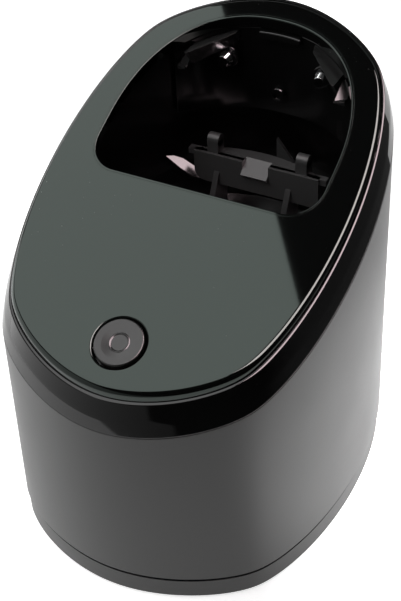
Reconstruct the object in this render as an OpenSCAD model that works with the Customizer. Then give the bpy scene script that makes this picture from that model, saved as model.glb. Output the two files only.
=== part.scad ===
// Cleaning and charging station for a foil shaver.
// The shaver stands head down in the well of the sloping deck. Pressing the
// rear button lets the housing rise on its guide posts, so that the fluid
// cartridge slides in from the rear. Millimetres; +Z is up, -Y is the low
// front end with the start button, and the origin is the middle of the
// rest plane under the feet.

/* [Body] */
// Width of the housing at its widest point
body_w = 100; // [94:1:106]
// Height of the seam between the base tray and the housing
seam_z = 8.3; // [8:0.1:9]
// Wall of the housing
wall = 2.4; // [2.2:0.1:2.6]

/* [Sloping top] */
// Height of the deck's top face above the middle of the base
deck_mid_z = 103.45; // [102:0.1:105]
// Slope of the deck, in degrees
deck_tilt = 25.1; // [24.5:0.1:25.6]
// Thickness of the deck plate
deck_t = 3; // [2.6:0.1:3.1]
// Height of the gloss rim's lower edge above the middle of the base
rim_low_z = 92.1; // [91:0.1:93]
// How far the gloss rim leans inwards
rim_lean = 3.2; // [2.8:0.1:3.4]

/* [Shaver well] */
// Half of the opening's width
well_half_w = 35.4; // [34:0.1:36]
// Place of the opening's straight front edge
well_front_y = -2; // [-4:0.5:-1]
// Place of the opening's rear end
well_rear_y = 53.2; // [52.5:0.1:53.5]
// Height of the joint between the well and the dish below it
well_floor_z = 79; // [78:0.5:80]

/* [Buttons] */
// Diameter of the start button
start_d = 14.5; // [13.5:0.1:15]
// Place of the start button along the deck, seen from above
start_y = -47.4; // [-48:0.1:-46]
// Width of the lift button in the rear wall
lift_w = 26; // [22:1:28]
// Height of the lift button
lift_h = 11; // [10:0.5:12]

/* [Mechanism] */
// How far the housing rises
lift_travel = 44; // [43:1:45]
// Diameter of the pump shaft
shaft_d = 3; // [2.5:0.1:3.2]
// Turns of each lift spring
spring_turns = 16; // [12:1:18]
// Wire of the lift springs
spring_wire = 0.8; // [0.7:0.05:0.9]

/* [Cartridge] */
// Width of the fluid cartridge
cart_w = 80; // [76:1:80]
// Height of the fluid cartridge
cart_h = 42; // [40:0.5:42]
// Place of the cartridge's flat rear face
cart_rear_y = 44; // [42:1:45]

/* [Hidden] */

$fn = 48;
fine_fn = 96;
eps = 0.01;

// ---- heights of the stack, from the rest plane up
foot_t = 1.6;
foot_show = 0.8;
foot_d = 12;
foot_x = 29;
foot_y = 43;
tray_floor_t = 2.6;
tray_floor_z = foot_show + tray_floor_t;
seam_gap = 0.6;
tray_top_z = seam_z - seam_gap / 2;
shell_z = seam_z + seam_gap / 2;
cart_z = tray_top_z + 0.2;
cart_top_z = cart_z + cart_h;
chassis_z = 56;
chassis_t = 2.4;
chassis_top_z = chassis_z + chassis_t;

// ---- planes of the sloping top
deck_slope = tan(deck_tilt);
rim_low_slope = tan(24.75);
rim_top_slope = tan(26);
rim_top_z = deck_mid_z - 1.65;
deck_gap = 0.3;
deck_edge = rim_lean + 2 * deck_gap;
housing_top_z = deck_mid_z + 40;

// ---- plan of the body: a rounded shape between an ellipse and a rectangle,
// given by the distance of its tangent from the centre in each direction
plan_points = 96;
plan_h2 = -6.21;
plan_h3 = -0.19;
plan_h4 = -1.92;
plan_h6 = -0.65;
plan_h0 = body_w / 2 - plan_h2 - plan_h4 - plan_h6;
tray_inset = 0.5;

function tangent_at(t) =
    plan_h0 + plan_h2 * cos(2 * t) + plan_h3 * sin(3 * t)
    + plan_h4 * cos(4 * t) + plan_h6 * cos(6 * t);
function tangent_rate(t) =
    -2 * plan_h2 * sin(2 * t) + 3 * plan_h3 * cos(3 * t)
    - 4 * plan_h4 * sin(4 * t) - 6 * plan_h6 * sin(6 * t);
function plan_point(t, inset) =
    let (h = tangent_at(t) - inset, d = tangent_rate(t))
    [h * cos(t) - d * sin(t), h * sin(t) + d * cos(t)];
function plan(inset) =
    [for (i = [0 : plan_points - 1]) plan_point(360 * i / plan_points, inset)];

// ---- plan of the well: straight front with round corners, and a rear that
// is half of a superellipse
well_power = 2.25;
well_wide_y = 13;
well_corner_r = 9;
rear_steps = 36;
corner_steps = 8;

function signed_power(v, p) = sign(v) * pow(abs(v), p);
function well_rear(inset) =
    [for (i = [0 : rear_steps])
        let (a = 180 * i / rear_steps)
        [(well_half_w - inset) * signed_power(cos(a), 2 / well_power),
         well_wide_y + (well_rear_y - well_wide_y - inset) * signed_power(sin(a), 2 / well_power)]];
function well_corner(side, inset) =
    [for (i = [0 : corner_steps])
        let (a = (side < 0 ? 180 : 270) + 90 * i / corner_steps)
        [side * (well_half_w - well_corner_r) + (well_corner_r - inset) * cos(a),
         well_front_y + well_corner_r + (well_corner_r - inset) * sin(a)]];
function well_plan(inset) = concat(well_rear(inset), well_corner(-1, inset), well_corner(1, inset));

// Level ring of the dish: the well's plan drawn in towards the drain
function bowl_ring(k, z) = [for (p = well_plan(0)) [p.x * k, drain_y + (p.y - drain_y) * k, z]];

// ---- rings, and the skin through them
function level(points, z) = [for (p = points) [p.x, p.y, z]];
function sloped(points, z, slope) = [for (p = points) [p.x, p.y, z + slope * p.y]];
function on_deck(points, drop) = sloped(points, deck_mid_z - drop, deck_slope);
function deck_z(y) = deck_mid_z + deck_slope * y;

// Solid between rings that all have the same number of points; looped joins
// the last ring to the first, which makes an open-ended wall.
module skin(rings, looped = false) {
    count = len(rings[0]);
    last = len(rings) - (looped ? 1 : 2);
    sides = [for (k = [0 : last], j = [0 : count - 1])
        let (k2 = (k + 1) % len(rings), j2 = (j + 1) % count)
        each [
            [k * count + j, k2 * count + j, k2 * count + j2],
            [k * count + j, k2 * count + j2, k * count + j2]
        ]];
    caps = looped ? [] : [
        [for (j = [0 : count - 1]) j],
        [for (j = [count - 1 : -1 : 0]) (len(rings) - 1) * count + j]
    ];
    polyhedron(points = [for (r = rings) each r], faces = concat(sides, caps), convexity = 6);
}

// Straight prism of the body's plan between two heights
module plan_prism(inset, z0, z1) {
    translate([0, 0, z0]) linear_extrude(z1 - z0) polygon(plan(inset));
}

// Wall that follows the plan, from one inset to another
module plan_band(outer, inner, z0, z1) {
    difference() {
        plan_prism(outer, z0, z1);
        plan_prism(inner, z0 - 1, z1 + 1);
    }
}

// Block centred on X, from y0 to y1 and z0 to z1
module block(w, y0, y1, z0, z1) {
    translate([-w / 2, y0, z0]) cube([w, y1 - y0, z1 - z0]);
}

// Everything above a plane that slopes along Y
module above_slope(z, slope) {
    translate([0, 0, z]) rotate([atan(slope), 0, 0]) translate([-100, -120, 0]) cube([200, 240, 120]);
}

// Moves a shape into the deck's frame: local z is the deck's normal
module at_start_button() {
    translate([0, start_y, deck_z(start_y)]) rotate([deck_tilt, 0, 0]) children();
}

module both_sides() {
    for (s = [0, 1]) mirror([s, 0, 0]) children();
}

// ---- guide posts and lift springs
post_x0 = 42.2;
post_x1 = 45.8;
post_half_y = 9;
post_top_z = 84;
post_fit = 0.3;
notch_z0 = 50.9;
notch_z1 = 54.5;
notch_depth = 2.6;
rod_x = 43.2;
rod_y = -20;
rod_d = 2.4;
rod_top_z = 79;
spring_d = 4.6;
spring_foot_z = tray_floor_z + 2;
spring_shelf_z = 44;
screw_d = 2.6;
screw_head_d = 5;
post_screw_y = 5;

// ---- chassis
chassis_inset = 3;
ledge_z = 54.3;
ledge_inner = 5.6;
boss_r = 2.4;
boss_h = 5.2;
pump_x = -20;
pump_y = -24;
board_x = 16;
board_y = -29;
board_w = 36;
board_l = 34;
board_z = 62;
board_t = 1.6;
chassis_screw_front = plan_point(-52, 4.6);
chassis_screw_rear = plan_point(28, 4.6);
drain_y = 24;
dish_z = 61;
guide_post_x = start_d / 2 + 3.4;

// ---- pump
snorkel_d = 11;
snorkel_bore = 8.6;
snorkel_foot_z = 12.5;
motor_d = 24;
motor_z = 64;
motor_h = 16;
bearing_fit = 0.05;
impeller_z = 15.5;
spout_z = 61.2;
spout_d = 5;
spout_bore = 3.4;
dish_inlet_y = 6;

// ---- latch
yoke_z = 51.5;
yoke_t = 1.8;
yoke_outer = 7;
yoke_inner = 10.5;
yoke_arm_x0 = 39.9;
yoke_arm_x1 = 41.9;
yoke_tooth_l = 3;
lift_z = 53;
lift_travel_y = 3;

// ---- power socket
socket_z = 24;
socket_w = 17;
socket_h = 10;
socket_depth = 10;

// ---- contacts in the well's rear wall
pin_x = 15.8;
pin_z = 114;
pin_d = 5;
pin_tip_y = 47.6;
pin_step_y = 54.4;
pin_back_y = 56.4;
pin_stem_d = 2.4;
well_undercut = -3;
carrier_outer = well_undercut + 0.02;
carrier_inner = well_undercut + 1.6;
carrier_z = 96;
screw_z = 103;

// ================= base body =================

module base_tray() {
    color("#3a3c3e") difference() {
        union() {
            plan_band(tray_inset, tray_inset + 2.2, foot_show, tray_top_z);
            plan_prism(tray_inset + 1, foot_show, tray_floor_z);
            // bed ribs that the cartridge slides over
            for (x = [-30, -15, 0, 15, 30]) translate([x, 0, 0]) block(1.8, -46, 47, tray_floor_z - eps, cart_z);
            for (y = [-40, -14, 12, 38]) block(62, y, y + 1.8, tray_floor_z - eps, cart_z - 1.2);
            // side rails and front stop of the cartridge
            both_sides() translate([cart_w / 2 + 1, 0, 0]) block(1.2, -16, 30, tray_floor_z - eps, cart_z + 3.4);
            block(16, -60.3, -59, tray_floor_z - eps, cart_z + 4);
            // seats of the guide posts and spring rods
            both_sides() {
                translate([(post_x0 + post_x1) / 2, 0, 0])
                    block(7, -post_half_y - 2.4, post_half_y + 2.4, tray_floor_z - eps, tray_floor_z + 3);
                translate([rod_x, rod_y, tray_floor_z - eps]) cylinder(d = 5.6, h = spring_foot_z - tray_floor_z);
            }
        }
        // feet recesses
        for (x = [-foot_x, foot_x], y = [-foot_y, foot_y])
            translate([x, y, 0]) cylinder(d = foot_d, h = foot_t);
        // pockets for the posts and rods, and the screws from below
        both_sides() {
            translate([(post_x0 + post_x1) / 2, 0, 0])
                block(post_x1 - post_x0, -post_half_y, post_half_y, tray_floor_z, tray_floor_z + 4);
            translate([rod_x, rod_y, tray_floor_z]) cylinder(d = rod_d, h = 6);
            for (y = [-post_screw_y, post_screw_y]) translate([(post_x0 + post_x1) / 2, y, 0]) {
                cylinder(d = screw_d, h = tray_floor_z + 1);
                cylinder(d = screw_head_d, h = foot_show + 1.2);
            }
        }
        // long relief grooves under the floor
        for (x = [-12, 0, 12]) translate([x, 0, 0]) block(6, -36, 36, 0, foot_show + 0.8);
    }
}

module foot(x, y) {
    color("#1c1c1c") translate([x, y, 0]) rotate_extrude()
        polygon([[0, 0.3], [3, 0], [foot_d / 2 - 0.6, 0], [foot_d / 2 - 0.1, 0.5], [foot_d / 2 - 0.1, foot_t], [0, foot_t]]);
}

module guide_post() {
    color("#d8d8d4") difference() {
        union() {
            translate([(post_x0 + post_x1) / 2, 0, 0])
                block(post_x1 - post_x0, -post_half_y, post_half_y, tray_floor_z, post_top_z - 3);
            // narrower lead-in at the top
            translate([(post_x0 + post_x1) / 2, 0, 0])
                block(post_x1 - post_x0 - 0.8, -post_half_y + 1.5, post_half_y - 1.5, post_top_z - 3 - eps, post_top_z);
        }
        // catch notch in the front edge
        translate([(post_x0 + post_x1) / 2, 0, 0])
            block(8, -post_half_y - 1, -post_half_y + notch_depth, notch_z0, notch_z1);
        // lightening slots through the post
        for (z = [16, 60]) translate([0, 0, z])
            for (y = [-4.2, 4.2]) translate([post_x0 - 1, y, 0]) rotate([0, 90, 0]) hull_slot(2.4, 16, 6);
        // pilot holes for the screws
        for (y = [-post_screw_y, post_screw_y])
            translate([(post_x0 + post_x1) / 2, y, tray_floor_z - 1]) cylinder(d = screw_d - 0.6, h = 11);
    }
}

// Slot with round ends, run through along local z, with its length along -x
module hull_slot(r, length, depth) {
    union() {
        cylinder(r = r, h = depth);
        translate([-length, 0, 0]) cylinder(r = r, h = depth);
        translate([-length, -r, 0]) cube([length, 2 * r, depth]);
    }
}

module spring_rod() {
    color("#c8ccd0") translate([rod_x, rod_y, tray_floor_z]) {
        cylinder(d = rod_d, h = rod_top_z - tray_floor_z - 1);
        translate([0, 0, rod_top_z - tray_floor_z - 1]) cylinder(d1 = rod_d, d2 = rod_d - 1, h = 1, $fn = 24);
    }
}

// One unbroken coil of round wire, with closed end turns
coil_rings = 8;
wire_sides = 6;
coil_r = (spring_d - spring_wire) / 2;
coil_h = spring_shelf_z - spring_foot_z - spring_wire;
coil_gap = coil_h / spring_turns - spring_wire;
coil_count = coil_rings * spring_turns;
echo(least_gap_between_coils = coil_gap);

function coil_ring(i) =
    let (a = 360 * i / coil_rings, z = spring_foot_z + spring_wire / 2 + coil_h * i / coil_count)
    [for (j = [0 : wire_sides - 1])
        let (b = -360 * j / wire_sides, r = coil_r + spring_wire / 2 * cos(b))
        [r * cos(a), r * sin(a), z + spring_wire / 2 * sin(b)]];

module lift_spring() {
    color("#b8bcc0") translate([rod_x, rod_y, 0]) skin([for (i = [0 : coil_count]) coil_ring(i)]);
}

module post_screws() {
    color("#a8acb0") for (s = [-1, 1], y = [-post_screw_y, post_screw_y])
        translate([s * (post_x0 + post_x1) / 2, y, 0]) {
            translate([0, 0, foot_show + 0.2]) cylinder(d = screw_head_d - 0.6, h = 1);
            translate([0, 0, foot_show + 1]) cylinder(d = screw_d - 0.6, h = 9);
        }
}

// ================= cartridge =================
cart_inset = 5;
cart_wall = 1.6;
lid_t = 2;
suction_port_d = 16;
drain_port_d = 18;

module cartridge_plan(shrink, z0, z1) {
    intersection() {
        plan_prism(cart_inset + shrink, z0, z1);
        block(cart_w - 2 * shrink, -80, cart_rear_y - shrink, z0, z1);
    }
}

module cartridge_tub() {
    color("#6f9fc4") difference() {
        union() {
            cartridge_plan(0, cart_z, cart_top_z - lid_t);
            // finger rib on the rear face
            block(34, cart_rear_y - 1, cart_rear_y + 2.4, cart_z + 22, cart_z + 26);
        }
        difference() {
            cartridge_plan(cart_wall, cart_z + cart_wall, cart_top_z);
            // splash wall between the suction side and the return side
            block(60, -1, 0.4, cart_z, cart_z + 30);
        }
    }
}

module cartridge_lid() {
    color("#86b0d0") difference() {
        union() {
            cartridge_plan(0, cart_top_z - lid_t, cart_top_z);
            // skirt that plugs into the tub
            difference() {
                cartridge_plan(cart_wall + 0.2, cart_top_z - lid_t - 2, cart_top_z - lid_t + eps);
                cartridge_plan(cart_wall + 1.8, cart_top_z - lid_t - 3, cart_top_z);
            }
            translate([pump_x, pump_y, cart_top_z - 14]) cylinder(d = suction_port_d + 3, h = 13);
        }
        translate([pump_x, pump_y, cart_top_z - 16]) cylinder(d = suction_port_d, h = 20);
        translate([0, drain_y, cart_top_z - 8]) cylinder(d = drain_port_d, h = 12);
    }
}

module cartridge_filter() {
    color("#e6e6e0") difference() {
        union() {
            translate([0, drain_y, cart_top_z - lid_t - 7]) cylinder(d = drain_port_d + 4, h = 7);
        }
        translate([0, drain_y, cart_top_z - lid_t - 5.4]) cylinder(d = drain_port_d, h = 9);
        for (a = [0 : 45 : 315])
            translate([0, drain_y, 0]) rotate([0, 0, a]) translate([5, 0, cart_top_z - lid_t - 9]) cylinder(d = 2.4, h = 5);
    }
}

// ================= housing body =================

module housing_shell() {
    color("#4a4c4f") difference() {
        union() {
            difference() {
                plan_prism(0, shell_z, housing_top_z);
                plan_prism(wall, shell_z - 1, housing_top_z + 1);
            }
            // ledge that carries the chassis
            plan_band(wall - 0.5, ledge_inner, ledge_z, chassis_z);
            // bosses for the chassis screws
            both_sides() for (p = [chassis_screw_front, chassis_screw_rear])
                translate([p.x, p.y, chassis_z - boss_h]) cylinder(r = boss_r, h = boss_h);
            // sleeves that run on the guide posts, and the spring shelves
            intersection() {
                plan_prism(wall - 0.5, shell_z, chassis_z);
                both_sides() {
                    for (s = [-1, 1]) translate([0, s * (post_half_y + post_fit + 1), 0])
                        translate([46, 0, 0]) block(8, -1, 1, 14, notch_z0 - 0.2);
                    translate([rod_x + 1.8, 0, 0])
                        block(8, rod_y - 3.4, rod_y + 3.4, spring_shelf_z, spring_shelf_z + 2);
                }
            }
        }
        above_slope(rim_low_z, rim_low_slope);
        // gaps in the ledge for the posts, the rods and the lift button
        both_sides() {
            translate([(post_x0 + post_x1) / 2, 0, 0])
                block(post_x1 - post_x0 + 2 * post_fit, -13, 13, notch_z0, chassis_z + 1);
            translate([rod_x, rod_y, 30]) cylinder(d = rod_d + 0.6, h = 40);
            for (p = [chassis_screw_front, chassis_screw_rear])
                translate([p.x, p.y, chassis_z - 4.6]) cylinder(d = 1.8, h = 6);
        }
        intersection() {
            plan_prism(wall, 40, chassis_z + 1);
            block(lift_w + 8, 40, 70, 40, chassis_z + 1);
        }
        // window of the lift button and mouth of the power socket
        translate([0, 50, lift_z]) rotate([-90, 0, 0]) rounded_plate(lift_w + 0.8, lift_h + 0.8, 4.4, 20);
        translate([0, 50, socket_z]) rotate([-90, 0, 0]) rounded_plate(socket_w, socket_h, socket_h / 2 - eps, 20);
    }
}

// Plate with round corners, centred on the local origin, rising along z
module rounded_plate(w, h, r, t) {
    union() {
        translate([-w / 2 + r, -h / 2, 0]) cube([w - 2 * r, h, t]);
        translate([-w / 2, -h / 2 + r, 0]) cube([w, h - 2 * r, t]);
        for (x = [-1, 1], y = [-1, 1]) translate([x * (w / 2 - r), y * (h / 2 - r), 0]) cylinder(r = r, h = t);
    }
}

// Gloss band between the housing and the deck: it leans inwards, carries the
// deck on an inner ledge and plugs into the housing with a skirt.
module gloss_rim() {
    mid_z = (rim_low_z + rim_top_z) / 2;
    mid_slope = (rim_low_slope + rim_top_slope) / 2;
    color("#0d0d0e") skin([
        sloped(plan(0), rim_low_z, rim_low_slope),
        sloped(plan(rim_lean * 0.36), mid_z, mid_slope),
        sloped(plan(rim_lean - 0.25), rim_top_z - 0.4, rim_top_slope),
        sloped(plan(rim_lean), rim_top_z, rim_top_slope),
        sloped(plan(rim_lean + deck_gap), rim_top_z, rim_top_slope),
        on_deck(plan(rim_lean + deck_gap), deck_t),
        on_deck(plan(rim_lean + deck_gap + 2), deck_t),
        on_deck(plan(rim_lean + deck_gap + 2), deck_t + 2),
        sloped(plan(wall + 1.8), rim_low_z - 3, rim_low_slope),
        sloped(plan(wall + 0.1), rim_low_z - 3, rim_low_slope),
        sloped(plan(wall + 0.1), rim_low_z, rim_low_slope)
    ], looped = true);
}

module top_deck() {
    edge_r = 1.1;
    rounding = [for (a = [0 : 22.5 : 90]) on_deck(plan(deck_edge + edge_r * (1 - cos(a))), edge_r * (1 - sin(a)))];
    color("#0b0b0c") difference() {
        skin(concat([on_deck(plan(deck_edge), deck_t)], rounding));
        translate([0, 0, 60]) linear_extrude(100) polygon(well_plan(-1.3));
        at_start_button() translate([0, 0, -20]) cylinder(d = start_d + 0.7, h = 40, $fn = fine_fn);
    }
}

// Lining of the well: a lip in the deck's opening, and a wall that stands
// back under the deck and runs straight down to the dish
module well_liner() {
    outer = well_undercut - 1.6;
    color("#141415") difference() {
        skin([
            level(well_plan(outer), well_floor_z),
            on_deck(well_plan(outer), deck_t + 0.05),
            on_deck(well_plan(-1), deck_t + 0.05),
            on_deck(well_plan(-1), 0.3),
            on_deck(well_plan(-0.8), 0.1),
            on_deck(well_plan(-0.2), 0.1),
            on_deck(well_plan(0), 0.4),
            on_deck(well_plan(0), deck_t + 0.4),
            on_deck(well_plan(well_undercut), deck_t + 1.4),
            level(well_plan(well_undercut), well_floor_z)
        ], looped = true);
        both_sides() translate([pin_x, 60, pin_z]) rotate([90, 0, 0]) cylinder(d = pin_d + 0.8, h = 20);
        translate([0, 60, screw_z]) rotate([90, 0, 0]) cylinder(d = 2.4, h = 14);
    }
}

// Straight wall that follows the well, from one inset to another
module well_band(outer, inner) {
    difference() {
        translate([0, 0, carrier_z]) linear_extrude(40) polygon(well_plan(outer));
        translate([0, 0, carrier_z - 1]) linear_extrude(42) polygon(well_plan(inner));
    }
}

// Insert on the well's rear wall that holds the contacts and guides the
// shaver between two bevelled ledges
module contact_carrier() {
    wall_y = plan_point(90, 0).y;
    color("#3c3e40") difference() {
        intersection() {
            union() {
                intersection() {
                    well_band(carrier_outer, carrier_inner);
                    block(58, 40, wall_y, carrier_z, housing_top_z);
                }
                // ledges whose tops fall towards their outer ends, bevelled at both
                both_sides() intersection() {
                    translate([0, wall_y, 0]) rotate([90, 0, 0]) linear_extrude(30)
                        polygon([[11.4, 119], [12.4, 123.1], [24.2, 119.5], [27.2, 116.9], [27.2, 114.2], [23, 114.2]]);
                    translate([0, 0, carrier_z]) linear_extrude(40)
                        polygon([[11, 60], [12.8, 49.6], [22.2, 39.9], [23.6, 38.9], [40, 44], [40, 60]]);
                }
                // centre bar
                intersection() {
                    well_band(carrier_outer, carrier_inner + 1.6);
                    translate([0.8, 0, 0]) block(13.5, 45, wall_y, 121.6, housing_top_z);
                }
                // collars round the contact pins
                both_sides() translate([pin_x, 54, pin_z]) rotate([90, 0, 0]) cylinder(d = 7.2, h = 3);
            }
            // everything ends under the lip
            difference() {
                translate([0, 0, carrier_z]) linear_extrude(60) polygon(well_plan(carrier_outer));
                above_slope(deck_mid_z - deck_t - 1.5, deck_slope);
            }
        }
        both_sides() translate([pin_x, 60, pin_z]) rotate([90, 0, 0]) cylinder(d = pin_d + 0.1, h = 20);
        translate([0, 60, screw_z]) rotate([90, 0, 0]) cylinder(d = 2.4, h = 14);
    }
}

module carrier_screw() {
    color("#4a4a4a") translate([0, well_rear_y - carrier_inner - 0.1, screw_z]) rotate([90, 0, 0]) difference() {
        union() {
            cylinder(d = 4.6, h = 1.6);
            translate([0, 0, -2.8]) cylinder(d = 2.2, h = 2.9);
        }
        for (a = [0, 90]) rotate([0, 0, a]) translate([-1.4, -0.3, 0.9]) cube([2.8, 0.6, 2]);
    }
}

// Sprung contact: a round-nosed pin with a thin stem that a leaf spring pushes
module contact_pin() {
    color("#d9dcde") translate([pin_x, pin_tip_y, pin_z]) rotate([-90, 0, 0]) rotate_extrude($fn = fine_fn)
        polygon(concat(
            [[0, 0]],
            [for (a = [0 : 15 : 90]) [pin_d / 2 - 0.9 + 0.9 * sin(a), 0.9 - 0.9 * cos(a)]],
            [[pin_d / 2, pin_step_y - pin_tip_y], [pin_stem_d / 2, pin_step_y - pin_tip_y]],
            [[pin_stem_d / 2, pin_back_y - pin_tip_y], [0, pin_back_y - pin_tip_y]]
        ));
}

module contact_leaves() {
    travel_room = 1.15;
    leaf_t = 0.4;
    color("#c9a24a") both_sides() translate([pin_x, 0, 0]) {
        block(3, pin_back_y + travel_room, pin_back_y + travel_room + leaf_t, 98, 115.1);
        block(2, 55.76, pin_back_y + travel_room + leaf_t, 98, 98.4);
    }
}

// Bowl under the well that holds the fluid round the shaver's head
module cleaning_dish() {
    color("#101011") difference() {
        union() {
            skin([
                bowl_ring(0.34, dish_z),
                bowl_ring(0.66, 62.4),
                bowl_ring(0.9, 67.4),
                bowl_ring(1.02, 74),
                bowl_ring(1.12, 76.6),
                bowl_ring(1.12, well_floor_z),
                bowl_ring(1.0, well_floor_z),
                bowl_ring(0.98, 78),
                bowl_ring(0.94, 73.4),
                bowl_ring(0.82, 67.8),
                bowl_ring(0.6, 64.6),
                bowl_ring(0.3, 63.6)
            ]);
            // feet on the chassis
            for (x = [-22, 22], y = [12, 38]) translate([x, y, chassis_top_z]) cylinder(d = 5, h = 5);
            // upright fin behind the cradle
            translate([0, 51.2, 0]) rotate([90, 0, 0]) linear_extrude(1.2)
                polygon([[1, 73], [1, 89.5], [8, 80.5], [8, 73]]);
        }
        translate([0, drain_y, dish_z - 4]) cylinder(d = 8, h = 20);
        translate([pump_x, dish_inlet_y, dish_z - 4]) cylinder(d = spout_d, h = 20);
    }
}

module cradle_bracket() {
    front_y = 36.4;
    plate_t = 2.2;
    half_w = 21;
    top_z = 87.6;
    low_z = 77.3;
    corner_r = 3.4;
    notch_w = 8.8;
    notch_h = 4.2;
    shelf_r = 44;
    shelf_y = 43.5;
    color("#5b5d5f") union() {
        // front plate with round lower corners and a notch in its upper edge
        translate([0, front_y + plate_t, 0]) rotate([90, 0, 0]) linear_extrude(plate_t) difference() {
            polygon(concat(
                [[-half_w, top_z]],
                [for (a = [180 : 15 : 270]) [-half_w + corner_r + corner_r * cos(a), low_z + corner_r + corner_r * sin(a)]],
                [for (a = [270 : 15 : 360]) [half_w - corner_r + corner_r * cos(a), low_z + corner_r + corner_r * sin(a)]],
                [[half_w, top_z]]
            ));
            polygon([[-notch_w / 2, top_z + 1], [-notch_w / 2, top_z - notch_h],
                     [notch_w / 2, top_z - notch_h], [notch_w / 2, top_z + 1]]);
        }
        // top shelf, cut by an arc at its rear
        difference() {
            intersection() {
                block(2 * half_w, front_y + 1, front_y + 8, top_z - 1.8, top_z);
                translate([0, shelf_y - shelf_r, 0]) cylinder(r = shelf_r, h = 120, $fn = fine_fn);
            }
            block(notch_w, front_y - 1, front_y + 3.2, 70, 100);
        }
        // chute behind the notch
        translate([-notch_w / 2, front_y - 0.6, top_z - 4.8]) rotate([40, 0, 0]) cube([notch_w, 6, 1.2]);
        // prongs and end pivots
        for (s = [-1, 1]) {
            translate([s * 14.9, 0, 0]) block(3.7, front_y + 1, front_y + 5.2, top_z - 1.8, 91.4);
            translate([s * 14.9, front_y + 3.1, 91.4]) rotate([0, 90, 0]) cylinder(r = 2.1, h = 3.7, center = true);
            translate([s * half_w, 0, 0]) block(4.4, front_y + 0.8, front_y + 3, top_z - 2, top_z);
        }
        // legs that run forward and down to the dish
        for (x = [-13.2, 11.1]) translate([x - 0.9, 0, 0]) rotate([90, 0, 90]) linear_extrude(1.8)
            polygon([[front_y + 0.2, low_z + 5], [front_y + 6, low_z + 5], [front_y + 5, 66.8],
                     [front_y - 3.2, 63.7], [front_y - 3.7, 66], [front_y - 3.7, 74.5]]);
    }
}

module drain_nozzle() {
    color("#1a1a1b") translate([0, drain_y, 0]) difference() {
        union() {
            translate([0, 0, dish_z - 2.5]) cylinder(d = 15, h = 2.5);
            translate([0, 0, 46]) cylinder(d = 10, h = 15);
            translate([0, 0, 55]) cylinder(d = 8 - 0.04, h = 8.4);
        }
        translate([0, 0, 44]) cylinder(d = 6.4, h = 24);
        // slanted drip edge
        translate([-6, -6, 46]) rotate([0, -22, 0]) translate([0, 0, -8]) cube([20, 12, 8]);
    }
}

module delivery_tube() {
    r = spout_d / 2;
    color("#2a2a2c") translate([pump_x, 0, spout_z]) difference() {
        union() {
            translate([0, pump_y + snorkel_d / 2 + 1.5, 0]) rotate([-90, 0, 0])
                cylinder(r = r, h = dish_inlet_y - pump_y - snorkel_d / 2 - 1.5);
            translate([0, dish_inlet_y, 0]) sphere(r = r);
            translate([0, dish_inlet_y, 0]) cylinder(r = r, h = 5);
        }
        translate([0, pump_y + 4, 0]) rotate([-90, 0, 0]) cylinder(r = spout_bore / 2, h = dish_inlet_y - pump_y - 4);
        translate([0, dish_inlet_y, 0]) sphere(r = spout_bore / 2);
        translate([0, dish_inlet_y, 0]) cylinder(r = spout_bore / 2, h = 8);
    }
}

// Frame plate across the housing that carries the dish, pump and board
module chassis() {
    color("#77797c") difference() {
        union() {
            plan_prism(chassis_inset, chassis_z, chassis_top_z);
            // motor seat
            translate([pump_x, pump_y, chassis_top_z - eps]) cylinder(d = motor_d + 3, h = 8);
            // board posts
            for (x = [-1, 1], y = [-1, 1])
                translate([board_x + x * (board_w / 2 - 4), board_y + y * (board_l / 2 - 4), chassis_top_z - eps])
                    cylinder(d = 5, h = board_z - chassis_top_z + eps);
            // ribs under the dish
            for (x = [-9, 9]) translate([x, 0, 0]) block(1.6, 2, 48, chassis_top_z - eps, dish_z);
        }
        translate([pump_x, pump_y, chassis_top_z + 3]) cylinder(d = motor_d + 0.1, h = 8);
        translate([pump_x, pump_y, chassis_z - 1]) cylinder(d = snorkel_d + 3.1, h = 12);
        translate([pump_x, 0, 0]) block(spout_d + 1, pump_y, pump_y + 20, chassis_top_z, 70);
        translate([pump_x, 0, 0]) block(spout_d + 1, 0, 12, chassis_top_z - 0.4, 70);
        translate([0, drain_y, chassis_z - 1]) cylinder(d = 15.4, h = 20);
        both_sides() {
            translate([(post_x0 + post_x1) / 2, 0, 0])
                block(post_x1 - post_x0 + 6, -post_half_y - 1, post_half_y + 1, chassis_z - 1, 70);
            translate([rod_x + 3, 0, 0]) block(10, rod_y - 3, rod_y + 3, chassis_z - 1, 70);
            for (p = [chassis_screw_front, chassis_screw_rear])
                translate([p.x, p.y, chassis_z - 1]) cylinder(d = 2.3, h = 6);
        }
        block(lift_w + 10, 49, 80, chassis_z - 1, 70);
        // openings that save weight
        for (x = [-16, 0, 16]) translate([x, 0, 0]) block(10, 34, 46, chassis_z - 1, chassis_top_z + 1);
    }
}

module chassis_screws() {
    color("#a8acb0") both_sides() for (p = [chassis_screw_front, chassis_screw_rear])
        translate([p.x, p.y, 0]) {
            translate([0, 0, chassis_top_z]) cylinder(d = 3.8, h = 1.6);
            translate([0, 0, chassis_z - 4.4]) cylinder(d = 1.8, h = 4.4 + chassis_t + 0.5);
        }
}

module main_board() {
    color("#1f5b3a") difference() {
        translate([board_x, 0, 0]) block(board_w, board_y - board_l / 2, board_y + board_l / 2, board_z, board_z + board_t);
        for (x = [-1, 1], y = [-1, 1])
            translate([board_x + x * (board_w / 2 - 4), board_y + y * (board_l / 2 - 4), board_z - 1]) cylinder(d = 2.4, h = 4);
    }
}

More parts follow.
